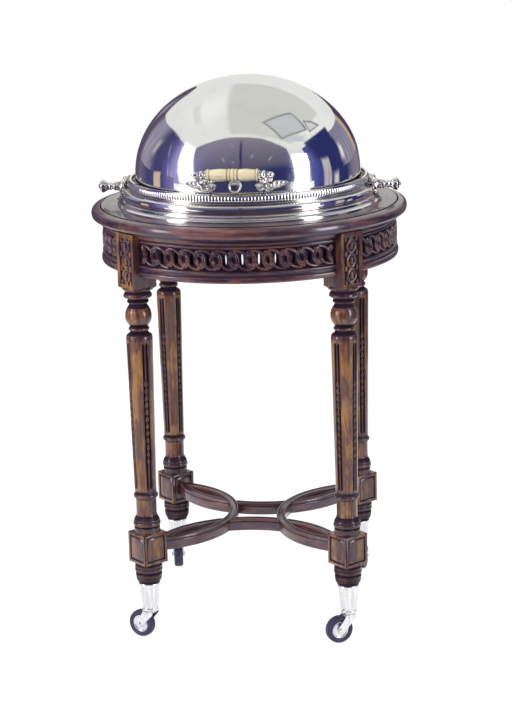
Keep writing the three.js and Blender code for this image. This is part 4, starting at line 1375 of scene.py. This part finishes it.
def card(name, points, glow, cover=1.0):
    """A studio card over a grid of points that only reflections see."""
    rows, columns = points.shape[:2]
    form = Form().grid(points)
    mesh = bpy.data.meshes.new(name)
    mesh.from_pydata(np.vstack(form.points).tolist(), [], form.faces)
    shades = mesh.attributes.new("glow", "FLOAT_COLOR", "POINT")
    colour = np.concatenate([np.broadcast_to(glow, (rows, columns, 3)), np.ones((rows, columns, 1))], -1)
    shades.data.foreach_set("color", colour.reshape(-1))
    veil = mesh.attributes.new("cover", "FLOAT", "POINT")
    veil.data.foreach_set("value", np.broadcast_to(cover, (rows, columns)).reshape(-1))
    mesh.materials.append(CARD)
    made = into_scene(name, mesh)
    for ray in ("camera", "diffuse", "transmission", "shadow", "volume_scatter"):
        setattr(made, "visible_" + ray, False)


def patch(name, corners, glow, reach, soft, strength=1.0, steps=20, flat=False):
    """A card given by its corners' directions: foot left, foot right, top right, top left.

    A flat card has straight edges; any other keeps its distance from the cover."""
    u = np.linspace(0, 1, steps + 1)
    across, up = np.meshgrid(u, u)
    shares = ((1 - across) * (1 - up), across * (1 - up), across * up, (1 - across) * up)
    if flat:
        points = sum(share[..., None] * aim(*corner, reach) for share, corner in zip(shares, corners))
    else:
        az, el = (sum(share * corner[k] for share, corner in zip(shares, corners)) for k in (0, 1))
        points = aim(az, el, reach)
    inset = np.minimum(np.minimum(across, 1 - across), np.minimum(up, 1 - up))
    cover = np.clip(inset / soft, 0, 1) ** 2 * strength
    card(name, points, glow, cover)


def wall(name, foot, reach, stations):
    """A card round part of the room: its top and colour run through (az, top, colour) stations."""
    at, tops, colours = zip(*stations)
    az = np.linspace(at[0], at[-1], 90)
    glow = np.stack([np.interp(az, at, channel) for channel in zip(*colours)], -1)
    el = foot + (np.interp(az, at, tops) - foot) * np.linspace(0, 1, 14)[:, None]
    card(name, aim(az, el, reach), glow)


def backdrop():
    """The pale room behind everything that the silver mirrors, brighter up to the left and back."""
    az, el = np.meshgrid(np.linspace(-180, 180, 73), np.linspace(-4, 90, 32))
    lump = np.exp(-(((az + 120) / 45) ** 2) - ((el - 62) / 16) ** 2)
    right = np.exp(-(((az - 120) / 50) ** 2) - ((el - 50) / 30) ** 2)
    level = 0.80 + 0.10 * lump + 0.06 * right - 0.06 * np.clip((el - 60) / 30, 0, 1)
    glow = level[..., None] * np.array((1.0, 1.005, 0.975))
    card("room", aim(az, el, 24.0), glow)
    patch("ceiling", [(-25, 60), (62, 40), (140, 34), (-168, 36)], (0.60, 0.615, 0.575), 21.0, soft=0.02,
          strength=0.85, flat=True)
    patch("ceiling_band", [(-84, 50), (-68, 56), (-150, 44), (-142, 40)], (0.66, 0.68, 0.65), 20.0,
          soft=0.3, strength=0.7, flat=True)


def front_wall():
    """A dark wall in front, lighter and greyer towards its top, with a pole and a few glints."""
    x, up = np.meshgrid(np.linspace(-15.2, 12.4, 34), np.linspace(0, 1, 27))
    height = up * (16.2 - 0.45 * np.clip(x - 5, 0, None) - 0.22 * np.clip(-4 - x, 0, None))
    el = np.degrees(np.arctan2(height - CENTRE_Z, np.hypot(x, 9.0)))
    rise = np.clip((el - 4) / 50, 0, 1)[..., None]
    left = np.clip(-x / 9, 0, 1)[..., None]
    glow = (1 - rise) * np.array((0.050, 0.048, 0.115)) + rise * np.array((0.225, 0.208, 0.262))
    glow = glow + left * np.array((0.060, 0.052, 0.090))
    deep = (np.clip((x - 1.5) / 3, 0, 1) * np.clip((22 - el) / 8, 0, 1))[..., None]
    glow = (1 - deep) * glow + deep * np.array(NAVY)
    points = np.stack([x, np.full(x.shape, -9.0), height], -1)
    card("wall_front", points, glow)
    patch("pole", [(-2.6, 14), (0.4, 14), (-1.6, 58), (-5, 58)], (0.040, 0.035, 0.095), 8.4, soft=0.15)
    for i, (az, el, lean, tall) in enumerate(((-21, 29, -3, 9), (11, 34, 2, 8), (31, 29, 4, 9),
                                              (-14, 47, 0, 4), (-10, 26, 0, 3))):
        patch(f"glint_{i}", [(az - 1.4 - lean, el - tall / 2), (az + 1.4 - lean, el - tall / 2),
                             (az + 1.4 + lean, el + tall / 2), (az - 1.4 + lean, el + tall / 2)],
              (0.55, 0.53, 0.58), 8.3, soft=0.45, steps=8)


def left_side():
    """A violet wall with pale streaks, a salmon box and the left softbox in its halo."""
    brown, grey = (0.100, 0.080, 0.125), (0.300, 0.275, 0.385)
    deep, violet, glow = (0.062, 0.058, 0.165), (0.130, 0.115, 0.330), (0.340, 0.310, 0.600)
    wall("wall_left", WALL_FOOT, WALL_REACH, [
        (-166, 8, brown), (-162, 17, brown), (-156, 22, brown), (-142, 21, brown),
        (-134, 25, grey), (-120, 31, grey), (-112, 34, (0.17, 0.15, 0.23)), (-105, 36, deep),
        (-94, 37, deep), (-84, 36, violet), (-74, 35, glow), (-60, 33, glow)])
    wall("low_left", LOW_FOOT, LOW_REACH, [
        (-165, 0, brown), (-140, 0, brown), (-130, 0, (0.15, 0.13, 0.22)), (-112, 0, deep),
        (-103, 0, deep), (-88, 0, deep), (-80, 0, violet), (-70, 0, (0.24, 0.20, 0.38))])
    patch("box_salmon", [(-102, -24), (-89, -24), (-88, 3), (-99, 1)], (0.64, 0.47, 0.34), 1.9, soft=0.06)
    patch("streak_back", [(-160, 6), (-150, 4), (-146, 19), (-158, 20)], (0.30, 0.27, 0.36), 8.5,
          soft=0.3)
    patch("streak_grey", [(-118, 6), (-110, 8), (-104, 27), (-116, 26)], (0.42, 0.41, 0.42), 8.4,
          soft=0.3)
    for i, (foot, top) in enumerate((((-116, -6), (-112, 6)), ((-137, 0), (-130, 18)),
                                     ((-128, 2), (-120, 24)), ((-81, -6), (-85, 14)),
                                     ((-85, 14), (-96, 32)), ((-76, -6), (-79, 8)))):
        patch(f"line_left_{i}", [foot, (foot[0] + 1.6, foot[1]), (top[0] + 1.6, top[1]), top],
              (0.72, 0.70, 0.72), 8.2, soft=0.45, steps=8)
    patch("halo_left", [(-84, -24), (-32, -24), (-38, 40), (-84, 40)], (0.36, 0.32, 0.66), 8.0, soft=0.5)
    patch("softbox_left", [(-66, -8), (-43, -8), (-57, 38), (-78, 40)], SOFTBOX, 7.0, soft=0.28)


def right_side():
    """A navy flag, a pale stand, a grey wall with a tan edge and the right softbox."""
    blue, grey = (0.048, 0.058, 0.270), (0.230, 0.220, 0.310)
    tan, brown = (0.560, 0.400, 0.270), (0.070, 0.048, 0.105)
    wall("wall_right", WALL_FOOT, WALL_REACH, [
        (72, 32, blue), (82, 34, blue), (92, 33, NAVY), (116, 30, NAVY), (124, 27, grey),
        (140, 22, grey), (150, 18, grey), (152, 17, tan), (157, 15, tan), (160, 14, brown),
        (170, 10, brown), (177, 6, brown)])
    wall("low_right", LOW_FOOT, LOW_REACH, [
        (72, 0, (0.10, 0.10, 0.32)), (80, 0, blue), (104, 0, NAVY), (120, 0, NAVY),
        (132, 0, (0.18, 0.17, 0.24)), (150, 0, (0.26, 0.22, 0.24)), (165, 0, brown)])
    patch("flag", [(80, 17), (109, 12), (127, 31), (78, 37)], NAVY, 8.3, soft=0.01, flat=True)
    patch("flag_low", [(104, -6), (118, -6), (121, 25), (100, 20)], NAVY, 8.2, soft=0.05)
    patch("stand", [(84, -24), (95, -24), (95, 15), (84, 16)], (0.50, 0.48, 0.50), 1.9, soft=0.08)
    patch("stand_fold", [(88, -24), (90, -24), (93, 12), (91, 12)], (0.22, 0.21, 0.27), 1.85, soft=0.4)
    patch("arch", [(97, -24), (108, -24), (106, 2), (97, 0)], (0.60, 0.59, 0.60), 1.9, soft=0.25)
    patch("streak_right", [(115, 3), (126, 1), (128, 18), (121, 21)], (0.85, 0.84, 0.84), 8.1, soft=0.35)
    for i, az in enumerate((131, 138, 145)):
        patch(f"line_right_{i}", [(az, -6), (az + 2, -6), (az + 1, 20 - i), (az - 1, 20 - i)],
              (0.60, 0.58, 0.62), 8.2, soft=0.45, steps=8)
    patch("halo_right", [(38, -24), (88, -24), (92, 38), (42, 44)], (0.20, 0.20, 0.50), 8.0, soft=0.5)
    patch("softbox_right", [(54, -8), (68, -8), (74, 26), (55, 30)], SOFTBOX, 7.0, soft=0.06)


def reflector():
    """The tilted sheet overhead, in its thin dark frame."""
    rim = (0.22, 0.22, 0.23)
    patch("reflector_rim", [(50, 75), (54, 48), (101, 42.5), (124, 58)], rim, 8.2, soft=0.001, flat=True)
    patch("reflector", [(56, 73.5), (57, 50), (99, 44.5), (120, 58)], (0.56, 0.58, 0.60), 8.05, soft=0.02,
          flat=True)
    patch("reflector_glow", [(62, 70), (60, 54), (84, 50), (88, 62)], (0.86, 0.88, 0.92), 7.9, soft=0.5,
          flat=True)
    patch("arm_rim", [(112, 50), (98, 40.5), (122, 35.5), (120, 42.5)], rim, 8.2, soft=0.001, flat=True)
    patch("arm", [(111, 48), (101, 41.5), (118, 37.5), (117.5, 42)], (0.66, 0.67, 0.66), 8.1, soft=0.02,
          flat=True)
    patch("sheet_below", [(56, 44), (82, 36), (97, 41), (58, 48)], (0.60, 0.60, 0.68), 8.3, soft=0.2,
          flat=True)


def cards():
    """What stands round the trolley in its mirror-bright cover."""
    backdrop()
    front_wall()
    left_side()
    right_side()
    reflector()
    patch("low_front", [(-40, -26), (50, -26), (50, 1), (-40, 1)], (0.040, 0.042, 0.110), LOW_REACH,
          soft=0.06)


def soft_light(name, centre, target, wide, high, watts, colour=(1, 1, 1)):
    """A lamp that lights the trolley but isn't mirrored in it: the cards stand for it there."""
    lamp = bpy.data.lights.new(name, "AREA")
    lamp.shape = "RECTANGLE"
    lamp.size, lamp.size_y = wide, high
    lamp.energy = watts
    lamp.color = colour
    made = into_scene(name, lamp)
    made.location = centre
    made.rotation_mode = "QUATERNION"
    made.rotation_quaternion = (Vector(target) - Vector(centre)).to_track_quat("-Z", "Y")
    made.visible_glossy = False


def seen_or_mirrored(n, low, high):
    """The high level for rays from the camera, from gloss and through glass, else the low one."""
    path = n.make("LightPath").outputs
    seen = n.maths("MAXIMUM", path["Is Camera Ray"], path["Is Glossy Ray"])
    return n.spread(n.maths("MAXIMUM", seen, path["Is Transmission Ray"]), 0, 1, low, high)


def world():
    """White to the camera and in mirrors, and a soft grey light on the trolley."""
    n = Nodes("studio", "worlds")
    bpy.context.scene.world = n.set(Color=(1, 1, 1), Strength=seen_or_mirrored(n, 0.30, 1.0))


def floor():
    """A pale floor that reads white and keeps a soft shadow."""
    size = 60.0
    mesh = bpy.data.meshes.new("floor")
    mesh.from_pydata([(size * x, size * y, 0) for x, y in SQUARE], [], [(0, 1, 2, 3)])
    n = Nodes("floor")
    mesh.materials.append(n.set(
        Base_Color=(0.32, 0.32, 0.32), Roughness=0.9, Specular_IOR_Level=0.0,
        Emission_Color=(1, 1, 1), Emission_Strength=seen_or_mirrored(n, 0, 0.905)))
    into_scene("floor", mesh)


def studio():
    world()
    floor()
    cards()
    target = (0, 0, 0.6)
    soft_light("key", (-3.4, -4.2, 3.0), target, 1.2, 2.0, 215, (1.0, 0.98, 0.97))
    soft_light("fill", (3.8, -3.4, 2.0), target, 1.2, 2.4, 40)
    soft_light("top", (0.3, -0.4, 4.4), target, 2.4, 2.4, 40)


CAMERA_AT = (0.4636, -4.1457, 1.5985)
CAMERA_TURN = (6.30, 14.15, -1.56)          # degrees left, down and rolled
FOCAL_LENGTH, SENSOR = 106.14, 36


def photo_camera():
    """A camera at the photograph's angle, with no shift."""
    camera = bpy.data.cameras.new("camera")
    camera.sensor_width = SENSOR
    camera.lens = FOCAL_LENGTH
    camera.clip_end = 100
    made = into_scene("camera", camera)
    yaw, pitch, roll = (math.radians(turn) for turn in CAMERA_TURN)
    ahead = Vector((-math.sin(yaw) * math.cos(pitch), math.cos(yaw) * math.cos(pitch), -math.sin(pitch)))
    right = Vector((math.cos(yaw), math.sin(yaw), 0))
    up = right.cross(ahead)
    rolled_right = math.cos(roll) * right + math.sin(roll) * up
    rolled_up = -math.sin(roll) * right + math.cos(roll) * up
    rotation = Matrix((rolled_right, rolled_up, -ahead)).transposed()
    made.matrix_world = Matrix.Translation(CAMERA_AT) @ rotation.to_4x4()
    bpy.context.scene.camera = made


# ---------- the trolley

photo_camera()
studio()
table_top()
friezes()
legs()
rails()
castors()
collar()
pivots()
cover()
handle()
boss()
inside()

bpy.context.scene.view_settings.view_transform = "Standard"
